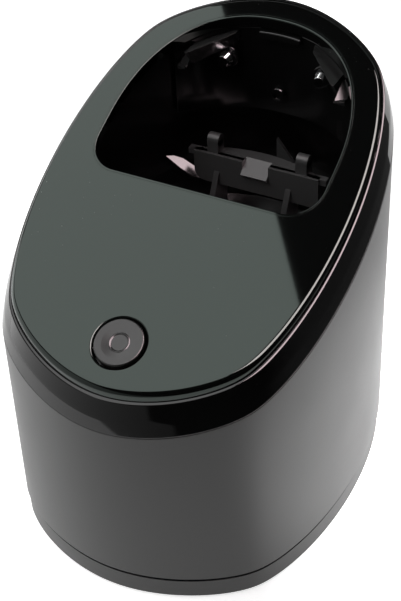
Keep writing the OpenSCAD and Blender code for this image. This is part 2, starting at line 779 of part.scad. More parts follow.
module board_parts() {
    top = board_z + board_t;
    color("#2b2b2e") translate([board_x, board_y, top]) {
        translate([-2, 2, 0]) cube([12, 11, 9]);
        translate([-12, 8, 0]) cylinder(d = 8, h = 11);
        translate([-12, -1, 0]) cylinder(d = 6.3, h = 9);
        translate([-4, -14, 0]) cube([9, 6, 2]);
        translate([8, -13, 0]) cube([4, 12, 5]);
        for (i = [0 : 3]) translate([-16 + 3 * i, -12, 0]) cube([1.6, 3.2, 1]);
    }
}

// Sleeve under the deck that guides the start button and carries its board
module button_guide() {
    color("#e4e4e0") at_start_button() difference() {
        union() {
            translate([0, 0, -11]) cylinder(d = start_d + 5, h = 11 - deck_t - 0.02, $fn = fine_fn);
            for (s = [-1, 1]) translate([s * guide_post_x, 0, -11]) cylinder(d = 4.6, h = 6);
        }
        translate([0, 0, -12]) cylinder(d = start_d + 2.7, h = 14, $fn = fine_fn);
        for (s = [-1, 1]) translate([s * guide_post_x, 0, -12]) cylinder(d = 1.6, h = 6);
    }
}

module button_board() {
    color("#1f5b3a") at_start_button() {
        difference() {
            translate([-13, -8, -12.6]) cube([26, 16, 1.6]);
            for (s = [-1, 1]) translate([s * guide_post_x, 0, -13]) cylinder(d = 2, h = 3);
        }
        translate([-3, -3, -11 - eps]) cube([6, 6, 1 + eps]);
        translate([4.6, -1, -11 - eps]) cube([2, 2, 1.2 + eps]);
        translate([-6.6, -1, -11 - eps]) cube([2, 2, 1.2 + eps]);
    }
}

// Round cap, slightly dished, with a retaining flange and a stem
module start_button() {
    r = start_d / 2;
    dish_r = 32;
    top = 0.55;
    color("#5d6162") at_start_button() rotate_extrude($fn = fine_fn)
        polygon(concat(
            [[0, -9], [1.5, -9], [1.5, -3.6], [r + 0.9, -3.6], [r + 0.9, -deck_t - 0.1], [r, -deck_t - 0.1]],
            [for (a = [0 : 22.5 : 90]) [r - 0.8 + 0.8 * cos(a), top - 0.8 + 0.8 * sin(a)]],
            [for (x = [5.2 : -1.3 : 0]) [x, top - 0.45 + x * x / (2 * dish_r)]]
        ));
}

module pump_motor() {
    color("#b4b8bc") translate([pump_x, pump_y, 0]) difference() {
        union() {
            translate([0, 0, motor_z]) cylinder(d = motor_d, h = motor_h);
            translate([0, 0, motor_z + motor_h - eps]) cylinder(d = 9, h = 2);
            translate([0, 0, chassis_top_z + 3]) cylinder(d = motor_d, h = motor_z - chassis_top_z - 3 + eps);
        }
        translate([0, 0, chassis_top_z]) cylinder(d = snorkel_d + 0.1, h = motor_z - chassis_top_z);
        translate([0, 0, motor_z - 1]) cylinder(d = shaft_d + 2 * bearing_fit, h = 10);
        block(spout_d + 0.6, 0, 20, chassis_top_z, motor_z - 0.2);
        // flats on the motor can
        for (s = [-1, 1]) translate([s * 15.4, 0, 0]) block(8, -20, 20, motor_z + 3, motor_z + motor_h + 1);
    }
}

// Suction tube that dips into the cartridge, with the pump chamber at its foot
module snorkel_tube() {
    color("#2f3032") translate([pump_x, pump_y, 0]) difference() {
        union() {
            translate([0, 0, snorkel_foot_z]) cylinder(d = snorkel_d, h = motor_z - snorkel_foot_z);
            translate([0, 0, chassis_z - 2]) cylinder(d = snorkel_d + 7, h = 2);
            translate([0, 0, chassis_z - eps]) cylinder(d = snorkel_d + 3, h = chassis_t);
            translate([0, snorkel_d / 2 - 1, spout_z]) rotate([-90, 0, 0]) cylinder(d = spout_d, h = 2.5);
        }
        difference() {
            translate([0, 0, snorkel_foot_z + 1.6]) cylinder(d = snorkel_bore, h = motor_z - snorkel_foot_z - 3.2);
            // bearing spiders with three arms
            for (z = [26, 52]) translate([0, 0, z]) {
                cylinder(d = 5, h = 3);
                for (a = [0, 120, 240]) rotate([0, 0, a]) translate([-0.7, 0, 0]) cube([1.4, 5, 3]);
            }
        }
        translate([0, 0, snorkel_foot_z - 1]) cylinder(d = 5, h = 4);
        translate([0, 0, 20]) cylinder(d = shaft_d + 2 * bearing_fit, h = 50);
        translate([0, 0, spout_z]) rotate([-90, 0, 0]) cylinder(d = spout_bore, h = 10);
        // inlet windows of the pump chamber
        for (a = [30 : 60 : 330]) rotate([0, 0, a]) translate([0, -0.9, snorkel_foot_z + 1.6]) cube([8, 1.8, 4]);
    }
}

// Shaft with the pump's four-bladed wheel
module pump_rotor() {
    wheel_r = snorkel_bore / 2 - 0.35;
    color("#c4c8cc") translate([pump_x, pump_y, 0]) union() {
        translate([0, 0, impeller_z - 0.6]) cylinder(d = shaft_d, h = motor_z + 8 - impeller_z);
        translate([0, 0, impeller_z]) cylinder(d = 4.4, h = 5);
        translate([0, 0, impeller_z]) cylinder(r = wheel_r, h = 0.8);
        for (a = [0 : 90 : 270]) rotate([0, 0, a]) translate([1, -0.4, impeller_z]) cube([wheel_r - 1.15, 0.8, 4]);
    }
}

module power_socket() {
    back_y = 62 - socket_depth - 2;
    color("#161617") difference() {
        intersection() {
            translate([0, back_y, socket_z]) rotate([-90, 0, 0])
                rounded_plate(socket_w + 5, socket_h + 5, 4, 20);
            plan_prism(wall + 0.05, 10, 40);
        }
        translate([0, back_y + 2, socket_z]) rotate([-90, 0, 0])
            rounded_plate(socket_w, socket_h, socket_h / 2 - eps, 20);
        for (s = [-1, 1]) translate([s * 3.5, back_y - 1, socket_z]) rotate([-90, 0, 0]) cylinder(d = 2.4, h = 5);
    }
}

module socket_pins() {
    back_y = 62 - socket_depth - 2;
    color("#d0d3d6") for (s = [-1, 1]) translate([s * 3.5, back_y - 3, socket_z]) rotate([-90, 0, 0]) {
        cylinder(d = 2.4, h = 9);
        translate([0, 0, 9]) sphere(d = 2.4);
    }
}

// ================= latch =================

// Yoke behind the lift button; its teeth reach round the guide posts
module latch_yoke() {
    color("#c2c4c0") union() {
        intersection() {
            plan_band(yoke_outer, yoke_inner, yoke_z, yoke_z + yoke_t);
            block(120, 13, 80, 40, 70);
        }
        both_sides() {
            translate([(yoke_arm_x0 + yoke_arm_x1) / 2, 0, 0])
                block(yoke_arm_x1 - yoke_arm_x0, -post_half_y - post_fit - yoke_tooth_l, 16, yoke_z, yoke_z + yoke_t);
            translate([yoke_arm_x1 + 1.2, 0, 0])
                block(3, -post_half_y - post_fit - yoke_tooth_l, -post_half_y - post_fit, yoke_z, yoke_z + yoke_t);
        }
    }
}

// Cap whose face follows the housing, with a flange behind the wall
module lift_button() {
    color("#3f4143") union() {
        intersection() {
            translate([0, 52, lift_z]) rotate([-90, 0, 0]) rounded_plate(lift_w, lift_h, 4, 20);
            plan_band(-0.6, wall + 3, lift_z - 10, lift_z + 10);
        }
        intersection() {
            plan_band(wall + 0.7, wall + 2.2, lift_z - lift_h / 2 - 1.2, lift_z + lift_h / 2 + 1.2);
            block(lift_w + 4, 45, 70, 30, 80);
        }
        block(10, plan_point(90, yoke_outer).y, 60, yoke_z, yoke_z + yoke_t);
    }
}

base_tray();
foot(-foot_x, -foot_y);  // foot_front_left
foot(foot_x, -foot_y);  // foot_front_right
foot(-foot_x, foot_y);  // foot_rear_left
foot(foot_x, foot_y);  // foot_rear_right
mirror([1, 0, 0]) guide_post();  // guide_post_left
guide_post();  // guide_post_right
mirror([1, 0, 0]) spring_rod();  // spring_rod_left
spring_rod();  // spring_rod_right
mirror([1, 0, 0]) lift_spring();  // lift_spring_left
lift_spring();  // lift_spring_right
post_screws();
cartridge_tub();
cartridge_lid();
cartridge_filter();
housing_shell();
gloss_rim();
top_deck();
well_liner();
contact_carrier();
carrier_screw();
mirror([1, 0, 0]) contact_pin();  // contact_pin_left
contact_pin();  // contact_pin_right
contact_leaves();
cleaning_dish();
cradle_bracket();
drain_nozzle();
delivery_tube();
chassis();
chassis_screws();
main_board();
board_parts();
button_guide();
button_board();
start_button();
pump_motor();
snorkel_tube();
pump_rotor();
power_socket();
socket_pins();
latch_yoke();
lift_button();
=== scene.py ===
"""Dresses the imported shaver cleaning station: smooth shells, finishes, floor, light and camera.

Lengths in the shape functions are millimetres in the part's frame: +Z is up, -Y is the low
front end, and the origin is the middle of the rest plane. build() turns them into metres.
"""

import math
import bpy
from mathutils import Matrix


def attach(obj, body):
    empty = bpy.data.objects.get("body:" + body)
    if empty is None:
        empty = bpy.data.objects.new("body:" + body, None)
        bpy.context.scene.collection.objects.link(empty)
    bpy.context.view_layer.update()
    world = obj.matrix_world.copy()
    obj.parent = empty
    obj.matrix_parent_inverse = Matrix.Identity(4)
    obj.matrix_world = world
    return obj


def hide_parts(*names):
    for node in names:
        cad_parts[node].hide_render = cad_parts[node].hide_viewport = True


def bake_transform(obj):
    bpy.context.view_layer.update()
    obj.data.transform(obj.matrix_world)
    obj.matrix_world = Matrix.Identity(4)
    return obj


bl_info = {
    "name": "Shaver cleaning station",
    "version": (1, 0, 0),
    "blender": (4, 5, 0),
    "location": "3D View > Sidebar > Station",
    "description": "Builds the looks of a shaver cleaning station round its packed frame",
    "category": "Object",
}

import bmesh
import bpy
import numpy as np
from bpy.props import FloatProperty, FloatVectorProperty, IntProperty, PointerProperty
from mathutils import Matrix, Vector

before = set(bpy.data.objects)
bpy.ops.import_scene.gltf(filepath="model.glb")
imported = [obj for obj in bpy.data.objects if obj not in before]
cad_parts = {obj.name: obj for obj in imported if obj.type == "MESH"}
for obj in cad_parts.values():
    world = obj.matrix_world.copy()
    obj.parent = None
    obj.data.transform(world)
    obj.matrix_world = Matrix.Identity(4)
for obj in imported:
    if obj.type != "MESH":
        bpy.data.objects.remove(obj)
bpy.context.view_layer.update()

MM = 0.001
DECK_Z, DECK_TILT = 103.45, math.radians(25.1)
DECK = math.tan(DECK_TILT)
RIM_LOW_Z, RIM_LOW = 92.1, math.tan(math.radians(24.75))
RIM_TOP_Z, RIM_TOP = 101.8, math.tan(math.radians(26.0))
DECK_INSET, DECK_FLAT, DECK_THICK = 3.8, 6.9, 3.0
OPENING, OPENING_FLAT = -1.08, -1.6
BUTTON_Y, HOLE_R, HOLE_FLAT = -47.4, 7.6, 9.4
WELL_FLOOR = 79.0
DRAIN_Y = 24.0
PIN_X, PIN_Y, PIN_Z = 15.8, 56.4, 114.0
LIFT_Z, SOCKET_Z = 53.0, 24.0
SPRING_X, SPRING_Y = 43.2, -20.0
STEPS_ROUND = 288
QUARTER = STEPS_ROUND // 4
TURN = np.linspace(0, 2 * np.pi, STEPS_ROUND, endpoint=False)


# ---- outlines and profiles

def body_outline(inset, turn=TURN):
    """Outline of the body drawn in by inset. The tangent that faces direction t lies
    h = h0 + h2 cos 2t + h3 sin 3t + h4 cos 4t + h6 cos 6t - inset from the centre, and it
    touches the outline at (h cos t - h' sin t, h sin t + h' cos t)."""
    h2, h3, h4, h6 = -6.21, -0.19, -1.92, -0.65
    t = np.asarray(turn)
    h = (50 - h2 - h4 - h6 + h2 * np.cos(2 * t) + h3 * np.sin(3 * t) + h4 * np.cos(4 * t)
         + h6 * np.cos(6 * t) - np.asarray(inset)[..., None])
    rate = (-2 * h2 * np.sin(2 * t) + 3 * h3 * np.cos(3 * t) - 4 * h4 * np.sin(4 * t)
            - 6 * h6 * np.sin(6 * t))
    return np.stack([h * np.cos(t) - rate * np.sin(t), h * np.sin(t) + rate * np.cos(t)], -1)


def well_outline(inset):
    """Outline of the well drawn in by inset: a rear of (x / a)^2.25 + (y / b)^2.25 = 1 about
    (0, 13), straight sides, and a straight front joined to them by quarter circles."""
    inset = np.asarray(inset, float)[..., None]
    a = np.linspace(0, np.pi, 361)
    power = lambda v: np.sign(v) * np.abs(v) ** (2 / 2.25)
    rear = np.stack([(35.4 - inset) * power(np.cos(a)), 13 + (40.2 - inset) * power(np.sin(a))], -1)
    parts = [rear]
    for side, start in ((-1, np.pi), (1, 1.5 * np.pi)):
        b = np.linspace(start, start + np.pi / 2, 61)
        bend = np.stack([side * 26.4 + (9 - inset) * np.cos(b), 7 + (9 - inset) * np.sin(b)], -1)
        parts.append(bend)
    ends = [part[..., [0, -1], :] for part in parts]
    loop = []
    for k, part in enumerate(parts):
        s = np.linspace(0, 1, 62)[1:-1, None]
        first, last = ends[k][..., 1:2, :], ends[(k + 1) % 3][..., 0:1, :]
        loop += [part, first + (last - first) * s]
    return np.concatenate(loop, -2)


def rounded(corners, closed=False, steps=5):
    """Profile with round corners. Each row of corners is a point in two or more numbers, and
    its radius r last. A corner C becomes the circular arc
    ((1-s)^2 A + 2 w s (1-s) C + s^2 B) / ((1-s)^2 + 2 w s (1-s) + s^2), where A and B lie
    r / tan(half the corner's angle) from C on its two sides and w is the sine of that half
    angle. One more point beyond A and B keeps the flat sides flat."""
    rows = np.array(corners, float)
    points, radii = rows[:, :-1], rows[:, -1]
    count, out = len(points), []
    for k, (c, r) in enumerate(zip(points, radii)):
        if r == 0 or (not closed and k in (0, count - 1)):
            out.append(c[None])
            continue
        to_a, to_b = points[k - 1] - c, points[(k + 1) % count] - c
        la, lb = np.linalg.norm(to_a[:2]), np.linalg.norm(to_b[:2])
        half = math.acos(np.clip(to_a[:2] @ to_b[:2] / (la * lb), -1, 1)) / 2
        reach = min(r / math.tan(half), 0.46 * la, 0.46 * lb)
        hold = min(0.25 * reach + 0.05, 0.03 * min(la, lb))
        a, b, w = c + to_a / la * reach, c + to_b / lb * reach, math.sin(half)
        s = np.linspace(0, 1, steps + 1)[:, None]
        weight = (1 - s) ** 2 + 2 * w * s * (1 - s) + s**2
        arc = ((1 - s) ** 2 * a + 2 * w * s * (1 - s) * c + s**2 * b) / weight
        out += [(a + to_a / la * hold)[None], arc, (b + to_b / lb * hold)[None]]
    return np.concatenate(out)


def lifted(plan, height, slope):
    """Plan points raised to the plane z = height + slope * y, one height and slope a row."""
    z = np.asarray(height)[..., None] + np.asarray(slope)[..., None] * plan[..., 1]
    return np.concatenate([plan, z[..., None]], -1)


def body_skin(profile):
    """Profile rows (inset, height, slope) carried round the body's outline."""
    inset, height, slope = np.asarray(profile, float).T
    return lifted(body_outline(inset), height, slope)


def well_skin(profile):
    """Profile rows (inset, height, slope) carried round every third point of the well's outline."""
    inset, height, slope = np.asarray(profile, float).T
    return lifted(well_outline(inset)[:, ::3], height, slope)


def lathe(profile, sides=96):
    """Profile rows (radius, height) turned about the local z axis: (r cos a, r sin a, h)."""
    radius, height = np.asarray(profile, float).T
    a = np.linspace(0, 2 * np.pi, sides, endpoint=False)
    return np.stack([radius[:, None] * np.cos(a), radius[:, None] * np.sin(a),
                     np.repeat(height[:, None], sides, 1)], -1)


def placed(grid, x, y, z, turn_x=0.0):
    """The grid turned by an angle about X and moved to (x, y, z)."""
    c, s = math.cos(turn_x), math.sin(turn_x)
    gx, gy, gz = np.moveaxis(np.asarray(grid, float), -1, 0)
    return np.stack([gx + x, c * gy - s * gz + y, s * gy + c * gz + z], -1)


def on_button(grid):
    """The grid moved from the start button's own frame, whose z is the deck's normal."""
    return placed(grid, 0, BUTTON_Y, DECK_Z + DECK * BUTTON_Y, DECK_TILT)


def slab(x, low, high, front, back):
    """Closed slab over stations x: front and back faces between low(x) and high(x). Low, high,
    front and back are one number, or one a station, or (at the front, at the back)."""
    x = np.asarray(x, float)
    both = lambda v: [np.broadcast_to(np.asarray(p, float), x.shape)
                      for p in (v if isinstance(v, tuple) else (v, v))]
    (low_f, low_b), (high_f, high_b) = both(low), both(high)
    (front_l, front_h), (back_l, back_h) = both(front), both(back)
    lines = [np.stack([x, y, z], -1) for y, z in (
        (front_l, low_f), (front_h, high_f), (back_h, high_b), (back_l, low_b))]
    grid = np.stack(lines + lines[:1])
    ends = [np.stack([np.stack([grid[0, k], grid[1, k]]), np.stack([grid[3, k], grid[2, k]])])
            for k in (0, -1)]
    return [(grid, False, False), (ends[0], False, False), (ends[1], False, False)]


def box(x0, x1, y0, y1, z0, z1):
    """Closed block between two corners."""
    return slab([x0, x1], z0, z1, y0, y1)


def plate_outline(width, height, radius, steps=8):
    """Rectangle with quarter-circle corners, as points in its own plane."""
    a = np.linspace(0, np.pi / 2, steps + 1)
    parts = []
    for k, (sx, sy) in enumerate(((1, 1), (-1, 1), (-1, -1), (1, -1))):
        b = a + k * np.pi / 2
        parts.append(np.stack([sx * (width / 2 - radius) + radius * np.cos(b),
                               sy * (height / 2 - radius) + radius * np.sin(b)], -1))
    return np.concatenate(parts)


# ---- from grids to pieces

def build(name, patches, body, replaced=(), sharp=32.0):
    """Joins grids into one mesh piece. Each patch is (grid, rows closed, columns closed); its
    quads are index sums over the grid. Seams and poles are merged and faces turned outwards."""
    mesh_edit = bmesh.new()
    mesh = bpy.data.meshes.new(name)
    places, quads, start = [], [], 0
    for grid, close_rows, close_columns in patches:
        rows, columns = grid.shape[:2]
        r = np.arange(rows if close_rows else rows - 1)[:, None]
        c = np.arange(columns if close_columns else columns - 1)[None]
        r2, c2 = (r + 1) % rows, (c + 1) % columns
        quad = np.stack([r * columns + c, r * columns + c2, r2 * columns + c2, r2 * columns + c], -1)
        quads.append(quad.reshape(-1, 4) + start)
        places.append(np.asarray(grid, float).reshape(-1, 3) * MM)
        start += rows * columns
    places, quads = np.concatenate(places), np.concatenate(quads)
    mesh.vertices.add(len(places))
    mesh.vertices.foreach_set("co", places.ravel())
    mesh.loops.add(quads.size)
    mesh.loops.foreach_set("vertex_index", quads.ravel())
    mesh.polygons.add(len(quads))
    mesh.polygons.foreach_set("loop_start", np.arange(len(quads)) * 4)
    mesh.update(calc_edges=True)
    mesh_edit.from_mesh(mesh)
    bmesh.ops.remove_doubles(mesh_edit, verts=mesh_edit.verts, dist=2e-7)
    flat = [f for f in mesh_edit.faces if f.calc_area() < 1e-13]
    bmesh.ops.delete(mesh_edit, geom=flat, context="FACES_ONLY")
    bmesh.ops.recalc_face_normals(mesh_edit, faces=mesh_edit.faces)
    mesh_edit.to_mesh(mesh)
    mesh_edit.free()
    smooth(mesh, sharp)
    piece = bpy.data.objects.new(name, mesh)
    bpy.context.scene.collection.objects.link(piece)
    if body:
        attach(piece, body)
    if replaced:
        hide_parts(*replaced)
    return piece


def smooth(mesh, sharp):
    """Shades a mesh smooth, with an edge left sharp where its faces meet at a wider angle."""
    mesh.polygons.foreach_set("use_smooth", np.ones(len(mesh.polygons), bool))
    mesh.set_sharp_from_angle(angle=math.radians(sharp))
    mesh.update()


def bevel(piece, width):
    """Rounds a piece's sharp edges by a width in millimetres."""
    edge = piece.modifiers.new("edges", "BEVEL")
    edge.width, edge.segments, edge.limit_method = width * MM, 2, "ANGLE"
    edge.angle_limit, edge.harden_normals = math.radians(32), True
    return piece


def cut(piece, patches):
    """Takes a closed shape out of a piece, then shades it again."""
    tool = build("cutter", patches, "base")
    take = piece.modifiers.new("cut", "BOOLEAN")
    take.operation, take.solver, take.object = "DIFFERENCE", "EXACT", tool
    result = bpy.data.meshes.new_from_object(
        piece.evaluated_get(bpy.context.evaluated_depsgraph_get()))
    piece.modifiers.clear()
    old, piece.data = piece.data, result
    bpy.data.meshes.remove(old)
    bpy.data.objects.remove(tool)
    smooth(result, 32.0)
    return piece


def capped(grid):
    """Patches of a grid closed at both ends by a pole in the middle of its first and last row."""
    middle = lambda row: np.stack([row, np.broadcast_to(row.mean(0), row.shape)])
    return [(grid, False, True), (middle(grid[0]), False, True), (middle(grid[-1]), False, True)]


# ---- materials

class Wire:
    """A value in a material's nodes. Sums, differences and products add Math nodes."""

    def __init__(self, tree, socket):
        self.tree, self.socket = tree, socket

    def join(self, operation, first, second):
        return self.node("Math", {"operation": operation}, {0: first, 1: second})

    def __add__(self, other):
        return self.join("ADD", self, other)

    def __sub__(self, other):
        return self.join("SUBTRACT", self, other)

    def __rsub__(self, other):
        return self.join("SUBTRACT", other, self)

    def __mul__(self, other):
        return self.join("MULTIPLY", self, other)

    __radd__, __rmul__ = __add__, __mul__

    def node(self, kind, settings, sockets, output=0):
        """Any node: its settings are set first, then the values or links of its sockets."""
        made = self.tree.nodes.new("ShaderNode" + kind)
        for key, value in settings.items():
            setattr(made, key, value)
        for key, value in sockets.items():
            if isinstance(value, Wire):
                self.tree.links.new(value.socket, made.inputs[key])
            else:
                made.inputs[key].default_value = value
        return Wire(self.tree, made.outputs[output])

    def noise(self, scale, detail=2.0, roughness=0.5):
        """Cloudy noise at this place, from 0 to 1, scale features a metre."""
        return self.node("TexNoise", {}, {"Vector": self, "Scale": scale, "Detail": detail,
                                          "Roughness": roughness})

    def blend(self, dark, light):
        """Colour between two, by this value."""
        return self.node("Mix", {"data_type": "RGBA"}, {0: self, 6: (*dark, 1), 7: (*light, 1)}, 2)

    def above(self, low, high):
        """0 below low, 1 above high, and smooth between."""
        return self.node("MapRange", {"interpolation_type": "SMOOTHSTEP"},
                         {"Value": self, "From Min": low, "From Max": high})

    def glow(self, top):
        """Grey for an emission colour: this value as a part of the emission's strength top."""
        return (self * (1 / top)).blend((0, 0, 0), (1, 1, 1))

    def split(self):
        """The x, y and z of this vector."""
        apart = self.node("SeparateXYZ", {}, {0: self}).socket.node
        return [Wire(self.tree, apart.outputs[k]) for k in range(3)]

    def bump(self, strength, depth):
        """Normal that follows this value as a height of up to depth metres."""
        return self.node("Bump", {}, {"Strength": strength, "Distance": depth, "Height": self})


def finish(name, paint, **fixed):
    """A material. paint gets the place on the object and returns what varies over the surface,
    by the name of the shader's socket; fixed holds what is the same all over."""
    material = bpy.data.materials.new(name)
    material.use_nodes = True
    tree = material.node_tree
    shader = tree.nodes["Principled BSDF"]
    place = Wire(tree, tree.nodes.new("ShaderNodeTexCoord").outputs["Object"])
    for key, value in paint(place).items():
        tree.links.new(value.socket, shader.inputs[key])
    for key, value in fixed.items():
        shader.inputs[key.replace("_", " ")].default_value = value
    return material


def shade(value):
    """A grey of this brightness."""
    return (value, value, value)


def moulded(dark, light, rough, grain=3200.0, depth=0.00002, strength=0.25):
    """Moulded plastic: slow change of colour and gloss, and a fine even grain."""
    def paint(place):
        cloud, fine = place.noise(45, 3), place.noise(grain, 2, 0.6)
        return {"Base Color": cloud.blend(dark, light),
                "Roughness": rough + (cloud - 0.5) * 0.07 + (fine - 0.5) * 0.08,
                "Normal": fine.bump(strength, depth)}
    return paint


def polished(dark, rough, dust=0.35):
    """Gloss plastic: nearly smooth, with faint wipe marks and a few specks of dust."""
    def paint(place):
        wipe = place.node("Mapping", {}, {"Vector": place, "Scale": (14, 90, 40)}).noise(1, 3)
        speck = place.noise(1500, 1, 0.4).above(0.785, 0.80) * place.noise(30, 1).above(0.45, 0.7)
        return {"Base Color": (speck * dust).blend(dark, (0.5, 0.48, 0.46)),
                "Roughness": rough + wipe.above(0.5, 0.8) * 0.015 + speck * 0.3,
                "Normal": place.noise(9, 1).bump(0.12, 0.0002)}
    return paint


def metal(colour, rough, stretch=(1, 1, 1), scale=900.0):
    """Metal with fine drawn or turned lines."""
    def paint(place):
        line = place.node("Mapping", {}, {"Vector": place, "Scale": stretch}).noise(scale, 2)
        tint = line.blend(tuple(0.86 * c for c in colour), colour)
        return {"Base Color": tint, "Roughness": rough + (line - 0.5) * 0.1,
                "Normal": line.bump(0.08, 0.00001)}
    return paint


def make_finishes(look):
    """All finishes by name, in the colours of the look settings."""
    housing, gloss, button = (tuple(c) for c in (look.housing, look.gloss, look.button))
    times = lambda c, k: tuple(k * v for v in c)
    table = {
        "housing satin": (moulded(times(housing, 0.9), times(housing, 1.12), look.satin), {}),
        "tray satin": (moulded(times(housing, 0.8), times(housing, 1.0), look.satin + 0.03), {}),
        "rim gloss": (polished(gloss, 0.035), {"Specular_IOR_Level": 0.5}),
        # The deck's specular tint is painted light: it gives the deck's reflections the green of the
        # overhead softbox, which itself shines white.
        "deck gloss": (polished(gloss, 0.03), {"Specular_Tint": (*look.painted_reflection_tint, 1)}),
        "well satin": (moulded(shade(0.0015), shade(0.003), 0.24, 2600), {}),
        "carrier satin": (moulded(shade(0.005), shade(0.007), 0.14, 2600), {}),
        # The ledges are the carrier's plastic at nearly five times its brightness: painted light on the
        # ledge tops.
        "ledge satin with painted light": (moulded(shade(0.024), shade(0.032), 0.2, 2600), {}),
        "dish gloss": (moulded(shade(0.005), shade(0.009), 0.16, 1500, strength=0.1), {}),
        "bracket satin": (moulded(shade(0.06), shade(0.08), 0.34, 2200), {}),
        "button satin": (moulded(times(button, 0.9), times(button, 1.1), 0.24, 4000, strength=0.1),
                         {}),
        "hidden grey": (moulded(shade(0.14), shade(0.19), 0.45, 1800), {}),
        "pale plastic": (moulded((0.58, 0.57, 0.54), (0.68, 0.67, 0.64), 0.4, 2000), {}),
        "cartridge blue": (moulded((0.10, 0.25, 0.44), (0.14, 0.32, 0.52), 0.32, 1600), {}),
        "cartridge lid": (moulded((0.18, 0.36, 0.55), (0.24, 0.43, 0.62), 0.34, 1600), {}),
        "filter fleece": (moulded((0.62, 0.62, 0.56), (0.78, 0.78, 0.73), 0.85, 1400, 0.0002, 0.8),
                          {}),
        "foot rubber": (moulded(shade(0.012), shade(0.02), 0.75, 1500, 0.00005, 0.5), {}),
        "bright chrome": (metal((0.83, 0.84, 0.85), 0.1), {"Metallic": 1.0}),
        "spring steel": (metal((0.55, 0.56, 0.58), 0.28), {"Metallic": 1.0}),
        "motor steel": (metal((0.5, 0.51, 0.53), 0.34, (1, 1, 30)), {"Metallic": 1.0}),
        "contact brass": (metal((0.78, 0.6, 0.28), 0.26), {"Metallic": 1.0}),
        "board green": (moulded((0.010, 0.09, 0.045), (0.016, 0.12, 0.06), 0.3, 700, 0.00003, 0.5),
                        {}),
        "board parts": (moulded(shade(0.012), shade(0.03), 0.5, 1800), {}),
    }
    for name, (paint, fixed) in table.items():
        if name not in bpy.data.materials:
            finish(name, paint, **fixed)


def wear(piece, name):
    """Gives a piece its finish."""
    piece.data.materials.clear()
    piece.data.materials.append(bpy.data.materials[name])
    return piece


# ---- the settings

class StationSizes(bpy.types.PropertyGroup):
    edge: FloatProperty(name="Edge rounding", description="Rounding of the housing's lower edge",
                        default=0.2, min=0.1, max=0.6)
    seam: FloatProperty(name="Seam rounding", description="Rounding of both edges of the rim's seam",
                        default=0.28, min=0.05, max=0.5)
    deck_edge: FloatProperty(name="Deck edge", description="Rounding of the deck's outer edge",
                             default=1.6, min=0.4, max=2.0)
    turns: IntProperty(name="Spring turns", description="Turns of each lift spring", default=16,
                       min=8, max=24)


class StationLook(bpy.types.PropertyGroup):
    housing: FloatVectorProperty(name="Housing", description="Colour of the satin housing",
                                 subtype="COLOR", default=(0.0100, 0.0106, 0.0100), min=0, max=1)
    gloss: FloatVectorProperty(name="Gloss", description="Colour of the gloss rim and deck",
                               subtype="COLOR", default=(0.004, 0.004, 0.004), min=0, max=1)
    button: FloatVectorProperty(name="Button", description="Colour of the start button",
                                subtype="COLOR", default=(0.022, 0.022, 0.0215), min=0, max=1)
    # Painted reflection colour: the green of the overhead softbox's light, put into the deck's
    # reflections instead of into the lamp.
    painted_reflection_tint: FloatVectorProperty(name="Painted reflection tint", description="Tint of what the deck reflects",
                                   subtype="COLOR", default=(0.84, 1.0, 0.92), min=0, max=1)
    satin: FloatProperty(name="Satin", description="Roughness of the satin housing",
                         subtype="FACTOR", default=0.38, min=0.1, max=0.9)


class StationLight(bpy.types.PropertyGroup):
    overhead: FloatProperty(name="Overhead", description="Brightness of the softbox over the deck",
                            default=2.3, min=0)
    side: FloatProperty(name="Side", description="Brightness of the softbox on the right",
                        default=14.0, min=0)
    floor: FloatProperty(name="Floor glow", description="Light that the table gives by itself",
                         default=0.75, min=0)


# ---- the pieces

class STATION_OT_housing(bpy.types.Operator):
    """Satin housing with its rear window and socket mouth, and the ribs inside"""
    bl_idname = "station.housing"
    bl_label = "Housing"

    def execute(self, context):
        sizes = context.scene.station_sizes
        wall = rounded([(0, 8.6, 0, sizes.edge), (0, RIM_LOW_Z, RIM_LOW, sizes.seam),
                        (2.4, RIM_LOW_Z, RIM_LOW, 0.1), (2.4, 8.6, 0, 0.2)], closed=True)
        piece = build("housing", [(body_skin(wall), True, True)], "housing", ["housing_shell"])
        window = plate_outline(26.8, 11.8, 4.4)
        mouth = plate_outline(17, 10, 4.99)
        for outline, z in ((window, LIFT_Z), (mouth, SOCKET_Z)):
            x, up = outline.T
            ring = np.stack([np.stack([x, np.full(len(x), y), up + z], -1) for y in (50.0, 70.0)])
            cut(piece, capped(ring))
        wear(piece, "housing satin")
        ledge = rounded([(2.3, 54.3, 0, 0), (5.6, 54.3, 0, 0.2), (5.6, 56, 0, 0.2), (2.3, 56, 0, 0)],
                        closed=True)
        grid = body_skin(ledge)
        runs = ((20, 54), (90, 128), (146, 230), (234, 286))
        arcs = [(grid[:, low:high], True, False) for low, high in runs]
        inner = build("housing_ribs", arcs, "housing")
        wear(inner, "housing satin")
        return {"FINISHED"}


